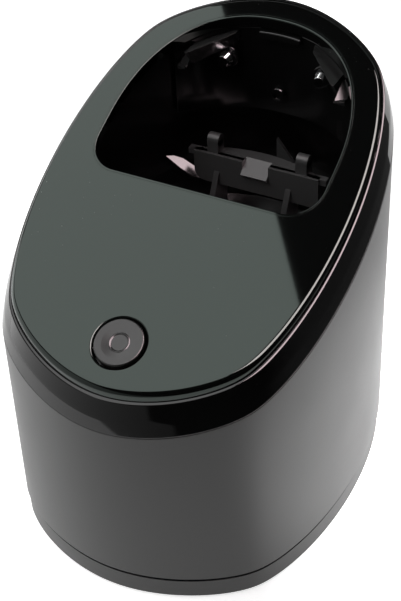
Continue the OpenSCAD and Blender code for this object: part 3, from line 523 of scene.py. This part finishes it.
class STATION_OT_rim(bpy.types.Operator):
    """Gloss rim that leans inwards between the housing and the deck, with a crowned top"""
    bl_idname = "station.rim"
    bl_label = "Gloss rim"

    def execute(self, context):
        seam = context.scene.station_sizes.seam
        outer, flat, bend = 2.92, 3.5, 0.4975
        crown = [(i, RIM_TOP_Z - bend * (flat - i) ** 2, RIM_TOP, 0)
                 for i in np.linspace(outer, flat, 9)[1:]]
        profile = rounded([
            (0, RIM_LOW_Z, RIM_LOW, seam),
            (1.152, (RIM_LOW_Z + RIM_TOP_Z) / 2, (RIM_LOW + RIM_TOP) / 2, 14),
            (outer, RIM_TOP_Z - bend * (flat - outer) ** 2, RIM_TOP, 0.08),
            *crown,
            (3.62, RIM_TOP_Z, RIM_TOP, 0.05),
            (3.62, DECK_Z - DECK_THICK, DECK, 0),
            (5.5, DECK_Z - DECK_THICK, DECK, 0),
            (5.5, DECK_Z - 5, DECK, 0),
            (4.2, RIM_LOW_Z - 3, RIM_LOW, 0),
            (2.5, RIM_LOW_Z - 3, RIM_LOW, 0),
            (2.5, RIM_LOW_Z, RIM_LOW, 0)], closed=True)
        piece = build("rim", [(body_skin(profile), True, True)], "housing", ["gloss_rim"])
        wear(piece, "rim gloss")
        return {"FINISHED"}


class STATION_OT_deck(bpy.types.Operator):
    """Gloss deck plate with the well's opening, the button's hole and a round outer edge"""
    bl_idname = "station.deck"
    bl_label = "Deck"

    def execute(self, context):
        radius = context.scene.station_sizes.deck_edge
        flat = lambda points, drop: lifted(points, DECK_Z - drop, DECK)
        back, fore = self.halves(body_outline(DECK_FLAT))
        low_back, low_fore = self.halves(body_outline(DECK_INSET))
        match = self.matches(back)
        around = np.arctan2(fore[:, 1] - BUTTON_Y, fore[:, 0])
        opening = lambda inset, drop: flat(self.opening(inset, match), drop)
        lip = rounded([(OPENING, DECK_THICK, 0), (OPENING, 0, 0.04), (OPENING_FLAT, 0, 0)])
        bore = rounded([(HOLE_R, DECK_THICK, 0), (HOLE_R, 0, 0.8), (HOLE_FLAT, 0, 0)])
        under = self.hole(HOLE_R, 0, around) - (0, 0, DECK_THICK)
        edge = rounded([(DECK_INSET, DECK_Z - DECK_THICK, DECK, 0), (DECK_INSET, DECK_Z, DECK, radius),
                        (DECK_FLAT, DECK_Z, DECK, 0)], steps=10)
        sheets = [
            np.stack([opening(OPENING_FLAT, 0), flat(back, 0)]),
            np.stack([self.hole(HOLE_FLAT, 0, around), flat(fore, 0)]),
            np.stack([opening(OPENING, DECK_THICK), flat(low_back, DECK_THICK)]),
            np.stack([under, flat(low_fore, DECK_THICK)]),
            body_skin(edge),
            np.stack([opening(inset, drop) for inset, drop in lip]),
            np.stack([under] + [self.hole(r, drop, around) for r, drop in bore[1:]])]
        piece = build("deck", [(grid, False, True) for grid in sheets], "housing", ["top_deck"])
        wear(piece, "deck gloss")
        return {"FINISHED"}

    @staticmethod
    def halves(points):
        """Outline points of the rear half and of the front half, each closed along the straight
        line from side to side at which the flat sheet is parted, near y = -22."""
        right = body_outline(DECK_FLAT)[3 * QUARTER:, 1]
        split = 3 * QUARTER + int(np.argmin(np.abs(right + 22)))
        mirror = 6 * QUARTER - split
        s = np.linspace(0, 1, 42)[1:-1, None]
        runs = (np.arange(split, mirror + STEPS_ROUND + 1) % STEPS_ROUND, np.arange(mirror, split + 1))
        return [np.concatenate([points[run], points[run[-1]] + (points[run[0]] - points[run[-1]]) * s])
                for run in runs]

    @staticmethod
    def matches(back):
        """For each outer point of the rear half, the place along the well's outline that lies in
        the same direction from (0, 22)."""
        direction = lambda points: np.unwrap(np.arctan2(points[:, 1] - 22, points[:, 0]))
        rise = direction(well_outline(OPENING))
        rounds = np.concatenate([rise + 2 * np.pi * k for k in (-1, 0, 1)])
        places = np.concatenate([np.arange(len(rise)) + k * len(rise) for k in (-1, 0, 1)])
        return np.interp(direction(back), rounds, places)

    @staticmethod
    def opening(inset, match):
        """Points of the well's outline at the matching places."""
        loop = well_outline(inset)
        place, closed = match % len(loop), np.concatenate([loop, loop[:1]])
        return np.stack([np.interp(place, np.arange(len(closed)), closed[:, k]) for k in (0, 1)], -1)

    @staticmethod
    def hole(radius, drop, turn):
        """Circle round the start button's axis, below the deck's face by drop: (r cos t, r sin t)."""
        drops = np.full(len(turn), -drop)
        return on_button(np.stack([radius * np.cos(turn), radius * np.sin(turn), drops], -1))


class STATION_OT_well(bpy.types.Operator):
    """Lining of the well with its flush lip, the dish below it and the fin behind the cradle"""
    bl_idname = "station.well"
    bl_label = "Well and dish"

    def execute(self, context):
        under = DECK_Z - DECK_THICK - 0.05
        wall = rounded([
            (-4.6, WELL_FLOOR, 0, 0), (-4.6, under, DECK, 0), (-0.5, under, DECK, 0),
            (-0.5, DECK_Z - 3.4, DECK, 0.1), (-3, DECK_Z - 4.4, DECK, 0.3), (-3, WELL_FLOOR, 0, 0)],
            closed=True)
        liner = build("well_lining", [(well_skin(wall), True, True)], "housing", ["well_liner"])
        wear(liner, "well satin")
        ring = rounded([(-1.04, under, DECK, 0), (-1.04, DECK_Z, DECK, 0.03),
                        (-0.3, DECK_Z, DECK, 0.3), (-0.3, under, DECK, 0)], closed=True)
        lip = build("well_lip", [(well_skin(ring), True, True)], "housing")
        wear(lip, "deck gloss")
        feet = [patch for x in (-22, 22) for y in (12, 38)
                for patch in capped(placed(lathe([(2.5, 0), (2.5, 5)], 24), x, y, 58.4))]
        patches = [(self.bowl(), True, True)] + feet + capped(self.vane())
        dish = build("dish", patches, "housing", ["cleaning_dish"])
        wear(dish, "dish gloss")
        fin = slab([1, 8], 73, np.array([89.5, 80.5]), 50, 51.2)
        wear(build("dish_fin", fin, "housing"), "bracket satin")
        return {"FINISHED"}

    @staticmethod
    def bowl():
        """Rows (k, z, m, radius): the plan is (1 - m) k times the well's outline about the drain,
        plus m times a circle of 4 mm round the drain."""
        rows = rounded([
            (0.34, 61, 0, 1), (0.66, 62.4, 0, 1), (0.9, 67.4, 0, 1), (1.02, 74, 0, 1),
            (1.12, 76.6, 0, 1), (1.12, 79, 0, 0), (1.0, 79, 0, 0), (0.98, 78, 0, 0.5),
            (0.94, 73.4, 0, 1), (0.82, 67.8, 0, 1), (0.6, 64.6, 0, 1), (0.3, 63.6, 0, 0.5),
            (0.12, 63.3, 1, 0.2), (0.12, 61, 1, 0)], closed=True)
        drain = np.array([0, DRAIN_Y])
        shape = well_outline(0)[::3] - drain
        turn = np.arctan2(shape[:, 1], shape[:, 0])
        circle = 4 * np.stack([np.cos(turn), np.sin(turn)], -1)
        k, z, m = rows[:, 0, None, None], rows[:, 1], rows[:, 2, None, None]
        return lifted((1 - m) * k * shape + m * circle + drain, z, np.zeros(len(z)))

    @staticmethod
    def vane():
        """Crescent plate beside the cradle, 0.8 thick, in the plane
        z = 78.6 - 0.42 (x + 27) + 0.52 (y - 39), which mirrors the right softbox."""
        plan = np.array([(-32.5, 38.9), (-30.4, 40.3), (-27.5, 41.1), (-23, 41), (-20.6, 40.8),
                         (-20.8, 38.7), (-23, 38.2), (-27, 38.2)])
        z = 78.6 - 0.42 * (plan[:, 0] + 27) + 0.52 * (plan[:, 1] - 39)
        return np.stack([np.column_stack([plan, z - drop]) for drop in (0, 0.8)])


class STATION_OT_carrier(bpy.types.Operator):
    """Contact carrier in the well's rear wall, with its ledges, bar, collars, screw and pins"""
    bl_idname = "station.carrier"
    bl_label = "Contact carrier"

    def execute(self, context):
        ledges = [(grid * (side, 1, 1), rows, columns)
                  for side in (-1, 1) for grid, rows, columns in self.ledge()]
        # The ledges wear a lighter copy of the carrier's plastic, as painted light on their tops.
        wear(bevel(build("ledges", ledges, "housing"), 0.25), "ledge satin with painted light")
        under = lambda y: DECK_Z - 4.5 + DECK * y
        x = np.linspace(-29, 29, 59)
        back, face = self.wall_y(-2.98, x), self.wall_y(-1.4, x)
        patches = slab(x, 96.0, (under(face), under(back)), face, back)
        x = np.linspace(-5.95, 7.55, 15)
        far, near = self.wall_y(-2.98, x), self.wall_y(0.2, x)
        patches += slab(x, 121.6, (under(near), under(far)), near, far)
        carrier = build("carrier", patches, "housing", ["contact_carrier"])
        wear(bevel(carrier, 0.3), "carrier satin")
        self.pins()
        return {"FINISHED"}

    @staticmethod
    def wall_y(inset, x):
        """Place at x of the well's rear wall, drawn in by inset."""
        rear = well_outline(inset)[:361]
        order = np.argsort(rear[:, 0])
        return np.interp(x, rear[order, 0], rear[order, 1])

    def ledge(self):
        """Ledge on the right: its top falls to both ends and its front is undercut. Its outer
        end is a facet that falls by 0.44 outwards and by 0.6 forwards."""
        x = np.r_[np.linspace(11.4, 12.4, 3), np.linspace(12.4, 24.2, 15)[1:]]
        low = np.interp(x, [11.4, 23, 27.2], [119, 114.2, 114.2])
        top = np.interp(x, [11.4, 12.4, 24.2], [119, 123.1, 119.5])
        near = np.interp(x, [11, 12.8, 22.2, 23.6, 40], [60, 49.6, 39.9, 38.9, 44])
        far = self.wall_y(-2.98, x)
        front = (np.minimum(near + 4, far - 0.4), np.minimum(near, far - 0.5))
        patches = slab(x, low, top, front, far)
        x = np.linspace(24.2, 27.2, 7)
        near, far = np.interp(x, [23.6, 40], [38.9, 44]), self.wall_y(-2.98, x)
        facet = lambda y: 119.4 - 0.44 * (x - 24.2) + 0.6 * (y - far[0])
        return patches + slab(x, 114.2, (facet(near), facet(far)), near, far)

    @staticmethod
    def pins():
        """Collars, screw head and contact pins: profiles turned about axes along Y."""
        collar = rounded([(3.6, 0, 0), (3.6, 4.4, 0.35), (2.6, 4.4, 0.2), (2.6, 0, 0)])
        collars = [(placed(lathe(collar), side * PIN_X, PIN_Y - 1, PIN_Z, math.pi / 2), False, True)
                   for side in (-1, 1)]
        wear(build("pin_collars", collars, "housing"), "carrier satin")
        head = [(0, 0), (2.3, 0), (2.3, 1.3), (2.1, 1.55), (1.5, 1.6), (1.4, 0.9), (0, 0.8)]
        grid = placed(lathe(head, 48), 0, 54.5, 103, math.pi / 2)
        screw = build("carrier_screw_head", [(grid, False, True)], "housing", ["carrier_screw"])
        wear(screw, "dish gloss")
        nose = rounded([(0, 8.8, 0), (1.75, 8.8, 0.15), (2.5, 6.9, 0.6), (2.5, 2, 0), (1.2, 2, 0),
                        (1.2, 0, 0), (0, 0, 0)], steps=8)
        for side, word in ((-1, "left"), (1, "right")):
            grid = placed(lathe(nose), side * PIN_X, PIN_Y, PIN_Z, math.pi / 2)
            pin = build(f"pin_{word}", [(grid, False, True)], f"contact_{word}",
                        [f"contact_pin_{word}"])
            wear(pin, "bright chrome")


class STATION_OT_cradle(bpy.types.Operator):
    """Bracket across the well that carries the shaver's head, with its prongs and legs"""
    bl_idname = "station.cradle"
    bl_label = "Cradle bracket"

    def execute(self, context):
        y, half, top, low, r, notch = 36.4, 21.0, 87.6, 77.3, 3.4, 4.4
        bend = np.linspace(0, np.pi / 2, 7)
        left = -half + r - r * np.cos(bend)
        x = np.concatenate([left, [-notch, -notch, notch, notch], -left[::-1]])
        bottom = low + r - r * np.sin(bend)
        bottom = np.concatenate([bottom, [low] * 4, bottom[::-1]])
        upper = np.concatenate([[top] * 8, [top - 4.2] * 2, [top] * 8])
        patches = slab(x, bottom, upper, y, y + 2.2)
        for side in (-1, 1):
            x = np.linspace(notch, half - 0.4, 14)
            shelf = slab(x, top - 1.8, top, y + 1, np.sqrt(44**2 - x**2) - 0.5)
            patches += [(grid * (side, 1, 1), a, b) for grid, a, b in shelf]
            patches += box(side * 14.9 - 1.85, side * 14.9 + 1.85, y + 1, y + 5.2, top - 1.8, 91.4)
            turned = [lathe([(2.1, 0)], 32)[0] + (0, 0, end) for end in (-1.85, 1.85)]
            knob = np.stack(turned)[..., [2, 1, 0]] + (side * 14.9, y + 3.1, 91.4)
            patches += capped(knob)
            patches += box(side * half - 2.2, side * half + 2.2, y + 0.8, y + 3, top - 2, top)
        x = np.linspace(-notch, notch, 5)
        patches += slab(x, top - 1.8, top, y + 3.2, np.sqrt(44**2 - x**2) - 0.5)
        leg = np.array([(y + 0.2, 82.3), (y + 6, 82.3), (y + 5, 66.8), (y - 3.2, 63.7), (y - 3.7, 66),
                        (y - 3.7, 74.5)])
        for x in (-13.2, 11.1):
            ring = np.stack([np.column_stack([np.full(len(leg), x + dx), leg]) for dx in (-0.9, 0.9)])
            patches += capped(ring)
        chute = np.array([(-notch, 0, 0), (notch, 0, 0), (notch, 6, 0), (-notch, 6, 0)], float)
        ring = np.stack([placed(chute + (0, 0, d), 0, y - 0.6, top - 4.8, math.radians(40))
                         for d in (0, 1.2)])
        patches += capped(ring)
        piece = build("cradle", patches, "housing", ["cradle_bracket"])
        wear(bevel(piece, 0.28), "bracket satin")
        return {"FINISHED"}


class STATION_OT_start_button(bpy.types.Operator):
    """Round start button: a dished cap with a raised ring in its middle"""
    bl_idname = "station.start_button"
    bl_label = "Start button"

    def execute(self, context):
        dish = lambda r: 0.1 + r * r / 64
        profile = rounded([
            (0, dish(0) + 0.02, 0), (2.3, dish(0) + 0.06, 0.5), (2.75, dish(2.75) + 0.14, 0.14),
            (3.05, dish(3.05), 0.12), (5.0, dish(5.0), 3), (7.1, 0.6, 0.5), (7.25, -3.1, 0),
            (8.15, -3.1, 0), (8.15, -3.6, 0), (1.5, -3.6, 0), (1.5, -9, 0), (0, -9, 0)], steps=6)
        piece = build("start_cap", [(on_button(lathe(profile, 128)), False, True)], "start_button",
                      ["start_button"])
        wear(piece, "button satin")
        return {"FINISHED"}


class STATION_OT_tray(bpy.types.Operator):
    """Base tray with its ribs and seats, and the rubber feet"""
    bl_idname = "station.tray"
    bl_label = "Base tray and feet"

    def execute(self, context):
        skirt = rounded([(6, 0.8, 0, 0), (0.5, 0.8, 0, 0.5), (0.5, 7.35, 0, 0.18), (0.85, 7.3, 0, 0.1),
                         (2.2, 5.6, 0, 0.2), (2.7, 5.6, 0, 0.2), (2.7, 3.4, 0, 0.3), (6, 3.4, 0, 0)])
        grid = body_skin(skirt)
        low, high = grid[:1] * (0, 0, 1), grid[-1:] * (0, 0, 1)
        patches = [(np.concatenate([low, grid, high]), False, True)]
        for x in (-30, -15, 0, 15, 30):
            patches += box(x - 0.9, x + 0.9, -46, 47, 3.3, 8.2)
        for y in (-40, -14, 12, 38):
            patches += box(-31, 31, y, y + 1.8, 3.3, 7)
        for side in (-1, 1):
            patches += box(side * 41 - 0.6, side * 41 + 0.6, -16, 30, 3.3, 11.6)
            patches += box(side * 44 - 3.5, side * 44 + 3.5, -11.4, 11.4, 3.3, 6.4)
            patches += capped(placed(lathe([(2.8, 0), (2.8, 2.1)], 32), side * SPRING_X, SPRING_Y, 3.3))
        patches += box(-8, 8, -60.3, -59, 3.3, 12.2)
        tray = build("tray", patches, "base", ["base_tray"])
        wear(tray, "tray satin")
        foot = rounded([(0, 0.3, 0), (3, 0, 0.3), (5.9, 0, 0.5), (5.9, 1.6, 0), (0, 1.6, 0)])
        for x, side in ((-29, "left"), (29, "right")):
            for y, end in ((-43, "front"), (43, "rear")):
                made = build(f"pad_{end}_{side}", [(placed(lathe(foot, 64), x, y, 0), False, True)],
                             "base", [f"foot_{end}_{side}"])
                wear(made, "foot rubber")
        return {"FINISHED"}


class STATION_OT_springs(bpy.types.Operator):
    """The two lift springs: round wire in a helix"""
    bl_idname = "station.springs"
    bl_label = "Lift springs"

    def execute(self, context):
        turns = context.scene.station_sizes.turns
        a = np.linspace(0, 2 * np.pi * turns, 28 * turns)
        b = np.linspace(0, 2 * np.pi, 10, endpoint=False)
        low, high, coil, wire = 5.8, 43.9, 1.9, 0.4
        z = low + (high - low - wire) * a / a[-1]
        r = coil + wire * np.cos(b)
        for side, word in ((-1, "left"), (1, "right")):
            grid = np.stack([side * (SPRING_X + r * np.cos(a)[:, None]),
                             SPRING_Y + r * np.sin(a)[:, None], z[:, None] + wire * np.sin(b)], -1)
            piece = build(f"spring_{word}", capped(grid), None, [f"lift_spring_{word}"])
            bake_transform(piece)
            wear(piece, "spring steel")
        return {"FINISHED"}


class STATION_OT_rear(bpy.types.Operator):
    """Lift button and power socket in the rear wall"""
    bl_idname = "station.rear"
    bl_label = "Lift button and socket"

    def execute(self, context):
        wide, tall, proud, deep, chamfer = 26, 11, 0.5, 6, 3.6
        outline = plate_outline(wide, tall, 4)
        rows = rounded([(0.0, deep, 0), (0.0, -0.35, 0.3), (chamfer, -proud, 0)], steps=5)
        line = body_outline(0, np.linspace(0.2, np.pi - 0.2, 400))
        line = line[np.argsort(line[:, 0])]

        def face(points, depth, height):
            """Points of an outline at a depth behind the housing's rear face."""
            y = np.interp(points[:, 0], line[:, 0], line[:, 1]) - depth
            return np.column_stack([points[:, 0], y, points[:, 1] + height])

        button = lambda points, depth: face(points, depth, LIFT_Z)
        drawn = lambda k: outline * (1 - 2 * k / wide, 1 - 2 * k / tall)
        side = np.stack([button(drawn(k), depth) for k, depth in rows])
        front = np.stack([button(drawn(chamfer) * s, -proud) for s in (1, 0.6, 0.25, 0)])
        back = np.stack([button(outline, deep), button(outline * 0, deep)])
        cap = build("lift_cap", [(grid, False, True) for grid in (side, front, back)], "latch",
                    ["lift_button"])
        wear(cap, "housing satin")
        outer, inner = plate_outline(22, 15, 4, 10), plate_outline(17, 10, 4.99, 10)
        flat = lambda o, y: np.column_stack([o[:, 0], np.full(len(o), y), o[:, 1] + SOCKET_Z])
        lip, mouth = (face(o, 2.45, SOCKET_Z) for o in (outer, inner))
        shell = [flat(outer * 0, 50), flat(outer, 50), lip, mouth, flat(inner, 52), flat(inner * 0, 52)]
        socket = build("inlet", [(np.stack(shell), False, True)], "housing", ["power_socket"])
        wear(socket, "well satin")
        return {"FINISHED"}


class STATION_OT_inside(bpy.types.Operator):
    """Finishes for the frame's inner parts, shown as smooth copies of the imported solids"""
    bl_idname = "station.inside"
    bl_label = "Inner parts"

    parts = {
        "guide_post_left": ("pale plastic", "base"), "guide_post_right": ("pale plastic", "base"),
        "spring_rod_left": ("spring steel", "base"), "spring_rod_right": ("spring steel", "base"),
        "post_screws": ("spring steel", "base"), "cartridge_tub": ("cartridge blue", "base"),
        "cartridge_lid": ("cartridge lid", "base"), "cartridge_filter": ("filter fleece", "base"),
        "contact_leaves": ("contact brass", "housing"), "drain_nozzle": ("well satin", "housing"),
        "delivery_tube": ("well satin", "housing"), "chassis": ("hidden grey", "housing"),
        "chassis_screws": ("spring steel", "housing"), "main_board": ("board green", "housing"),
        "board_parts": ("board parts", "housing"), "button_guide": ("pale plastic", "housing"),
        "button_board": ("board green", "housing"), "pump_motor": ("motor steel", "housing"),
        "snorkel_tube": ("well satin", "housing"), "pump_rotor": ("spring steel", "pump_wheel"),
        "socket_pins": ("bright chrome", "housing"), "latch_yoke": ("pale plastic", "latch"),
    }

    def execute(self, context):
        for node, (name, body) in self.parts.items():
            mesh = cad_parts[node].data.copy()
            mesh_edit = bmesh.new()
            mesh_edit.from_mesh(mesh)
            bmesh.ops.remove_doubles(mesh_edit, verts=mesh_edit.verts, dist=1e-6)
            mesh_edit.to_mesh(mesh)
            mesh_edit.free()
            smooth(mesh, 28.0)
            piece = bpy.data.objects.new(node + "_smooth", mesh)
            context.scene.collection.objects.link(piece)
            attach(piece, body)
            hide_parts(node)
            wear(piece, name)
        return {"FINISHED"}


class STATION_OT_stage(bpy.types.Operator):
    """Pale table, curved card, two softboxes, the light all round and the camera"""
    bl_idname = "station.stage"
    bl_label = "Stage"

    def execute(self, context):
        scene, light = context.scene, context.scene.station_light
        self.table(scene, light.floor)
        self.softbox(scene, "overhead", (-0.637, -0.144, 0.9), 121.5, (1.5, 0.8), light.overhead)
        side = self.softbox(scene, "side", (0.27, -0.02, 0.9), 0, (0.5, 0.85), light.side,
                            (1, 0.8, 0.84))
        side.visible_diffuse = False
        self.card()
        self.surround(scene)
        self.camera(scene)
        scene.view_settings.view_transform = "Standard"
        scene.view_settings.look = "None"
        return {"FINISHED"}

    @staticmethod
    def table(scene, floor):
        """Square table of 8 m that glows by floor all over, and more to the right of the station."""
        mesh = bpy.data.meshes.new("table")
        s, extra = 4.0, 1.25
        mesh.from_pydata([(-s, -s, 0), (s, -s, 0), (s, s, 0), (-s, s, 0)], [], [(0, 1, 2, 3)])
        table = bpy.data.objects.new("table", mesh)
        scene.collection.objects.link(table)

        def paint(place):
            """Pale, with the extra light between the station's right side and 0.16 m away."""
            way = place.node("VectorMath", {"operation": "DOT_PRODUCT"}, {0: place, 1: (0.8, 0.6, 0)}, 1)
            far = place.node("VectorMath", {"operation": "LENGTH"}, {0: place}, 1)
            right = way.above(0.0, 0.05) * (1 - far.above(0.09, 0.16)) * extra
            return {"Base Color": place.noise(3, 2).blend(shade(0.86), shade(0.88)),
                    "Emission Color": (right + floor).glow(extra + floor)}

        mesh.materials.append(finish("pale table", paint, Roughness=0.6, Specular_IOR_Level=0.2,
                                     Emission_Strength=extra + floor))

    @staticmethod
    def softbox(scene, name, place, turn, size, radiance, colour=(1, 1, 1)):
        """Area light that shines down, turned about Z by turn degrees. Its power is radiance
        times pi times its area."""
        data = bpy.data.lights.new(name, "AREA")
        data.shape, data.size, data.size_y = "RECTANGLE", *size
        data.energy, data.color = radiance * math.pi * size[0] * size[1], colour
        made = bpy.data.objects.new(name, data)
        made.matrix_world = Matrix.Translation(place) @ Matrix.Rotation(math.radians(turn), 4, "Z")
        scene.collection.objects.link(made)
        return made

    @staticmethod
    def card():
        """Upright card on an arc of 260 mm round the front, (r cos a, r sin a, z): faint on the
        right, black in front, and past a slanted line on the left brightest nearest the rear."""
        radius, brightest = 260.0, 4.0
        a = np.radians(np.linspace(-178, 65, 97))
        ring = [np.stack([radius * np.cos(a), radius * np.sin(a), np.full(len(a), z)], -1)
                for z in (1.0, 200.0)]
        piece = build("curved_card", [(np.stack(ring), False, False)], None)
        piece.visible_camera = False

        def paint(place):
            """Light by the direction from the middle, in degrees from +X."""
            x, y, z = place.split()
            turn = y.join("ARCTAN2", y, x) * (180 / math.pi)
            slant = turn + (z - 0.095) * 236
            left = 1 - slant.above(-96, -93)
            rise = turn.join("EXPONENT", (turn + 97) * (-1 / 31), 0.0)
            light = left * rise * 0.25 + turn.above(-25, 5) * 0.09
            return {"Emission Color": light.glow(brightest),
                    "Base Color": place.noise(20, 1).blend(shade(0.003), shade(0.005))}

        piece.data.materials.append(finish("curved card", paint, Roughness=0.9,
                                           Specular_IOR_Level=0.0, Emission_Strength=brightest))

    @staticmethod
    def surround(scene):
        """World light by direction: dark overhead, in front and on the right, pale on the left
        and behind, near the horizon."""
        world = bpy.data.worlds.new("surround")
        world.use_nodes = True
        tree = world.node_tree
        way = Wire(tree, tree.nodes.new("ShaderNodeTexCoord").outputs["Generated"])
        x, y, z = way.split()
        low = 1 - z.above(0.12, 0.55)
        pale = (x * -0.8 + y * 0.6).above(-0.15, 0.35)
        sky = tree.nodes["Background"]
        tree.links.new((low * pale * 0.95 + 0.02).glow(1.0).socket, sky.inputs["Color"])
        sky.inputs["Strength"].default_value = 1.0
        scene.world = world

    @staticmethod
    def camera(scene):
        """Camera fitted to the photograph: its direction, elevation and roll, place and lens."""
        az, el, roll = (math.radians(v) for v in (27.98, 38.16, -2.05))
        back = Vector((math.sin(az) * math.cos(el), -math.cos(az) * math.cos(el), math.sin(el)))
        right = Vector((0, 0, 1)).cross(back).normalized()
        up = back.cross(right)
        turned = (math.cos(roll) * right + math.sin(roll) * up,
                  -math.sin(roll) * right + math.cos(roll) * up)
        data = bpy.data.cameras.new("camera")
        data.lens, data.sensor_width, data.shift_x, data.shift_y = 86.29, 36, -0.0324, -0.0193
        data.clip_start, data.clip_end = 0.01, 20
        camera = bpy.data.objects.new("camera", data)
        place = Matrix((turned[0], turned[1], back)).transposed().to_4x4()
        place.translation = Vector((162.106, -294.197, 329.351)) * MM
        camera.matrix_world = place
        scene.collection.objects.link(camera)
        scene.camera = camera


class STATION_OT_finishes(bpy.types.Operator):
    """Makes every finish in the colours of the settings"""
    bl_idname = "station.finishes"
    bl_label = "Finishes"

    def execute(self, context):
        make_finishes(context.scene.station_look)
        return {"FINISHED"}


class STATION_PT_panel(bpy.types.Panel):
    """The station's settings and pieces"""
    bl_idname = "STATION_PT_panel"
    bl_label = "Shaver cleaning station"
    bl_space_type = "VIEW_3D"
    bl_region_type = "UI"
    bl_category = "Station"

    def draw(self, context):
        scene = context.scene
        for group in (scene.station_sizes, scene.station_look, scene.station_light):
            box_ui = self.layout.box()
            for name in group.bl_rna.properties.keys():
                if name not in ("rna_type", "name"):
                    box_ui.prop(group, name)
        for step in STEPS:
            self.layout.operator(step.bl_idname)


STEPS = (STATION_OT_finishes, STATION_OT_tray, STATION_OT_housing, STATION_OT_rim, STATION_OT_deck,
         STATION_OT_well, STATION_OT_carrier, STATION_OT_cradle, STATION_OT_start_button,
         STATION_OT_springs, STATION_OT_rear, STATION_OT_inside, STATION_OT_stage)
CLASSES = (StationSizes, StationLook, StationLight, *STEPS, STATION_PT_panel)


def register():
    for cls in CLASSES:
        bpy.utils.register_class(cls)
    bpy.types.Scene.station_sizes = PointerProperty(type=StationSizes)
    bpy.types.Scene.station_look = PointerProperty(type=StationLook)
    bpy.types.Scene.station_light = PointerProperty(type=StationLight)


def unregister():
    for name in ("station_sizes", "station_look", "station_light"):
        delattr(bpy.types.Scene, name)
    for cls in reversed(CLASSES):
        bpy.utils.unregister_class(cls)


def main():
    register()
    for step in STEPS:
        group, name = step.bl_idname.split(".")
        result = getattr(getattr(bpy.ops, group), name)()
        if result != {"FINISHED"}:
            raise RuntimeError(step.bl_label + " wasn't made")


if __name__ == "__main__":
    main()
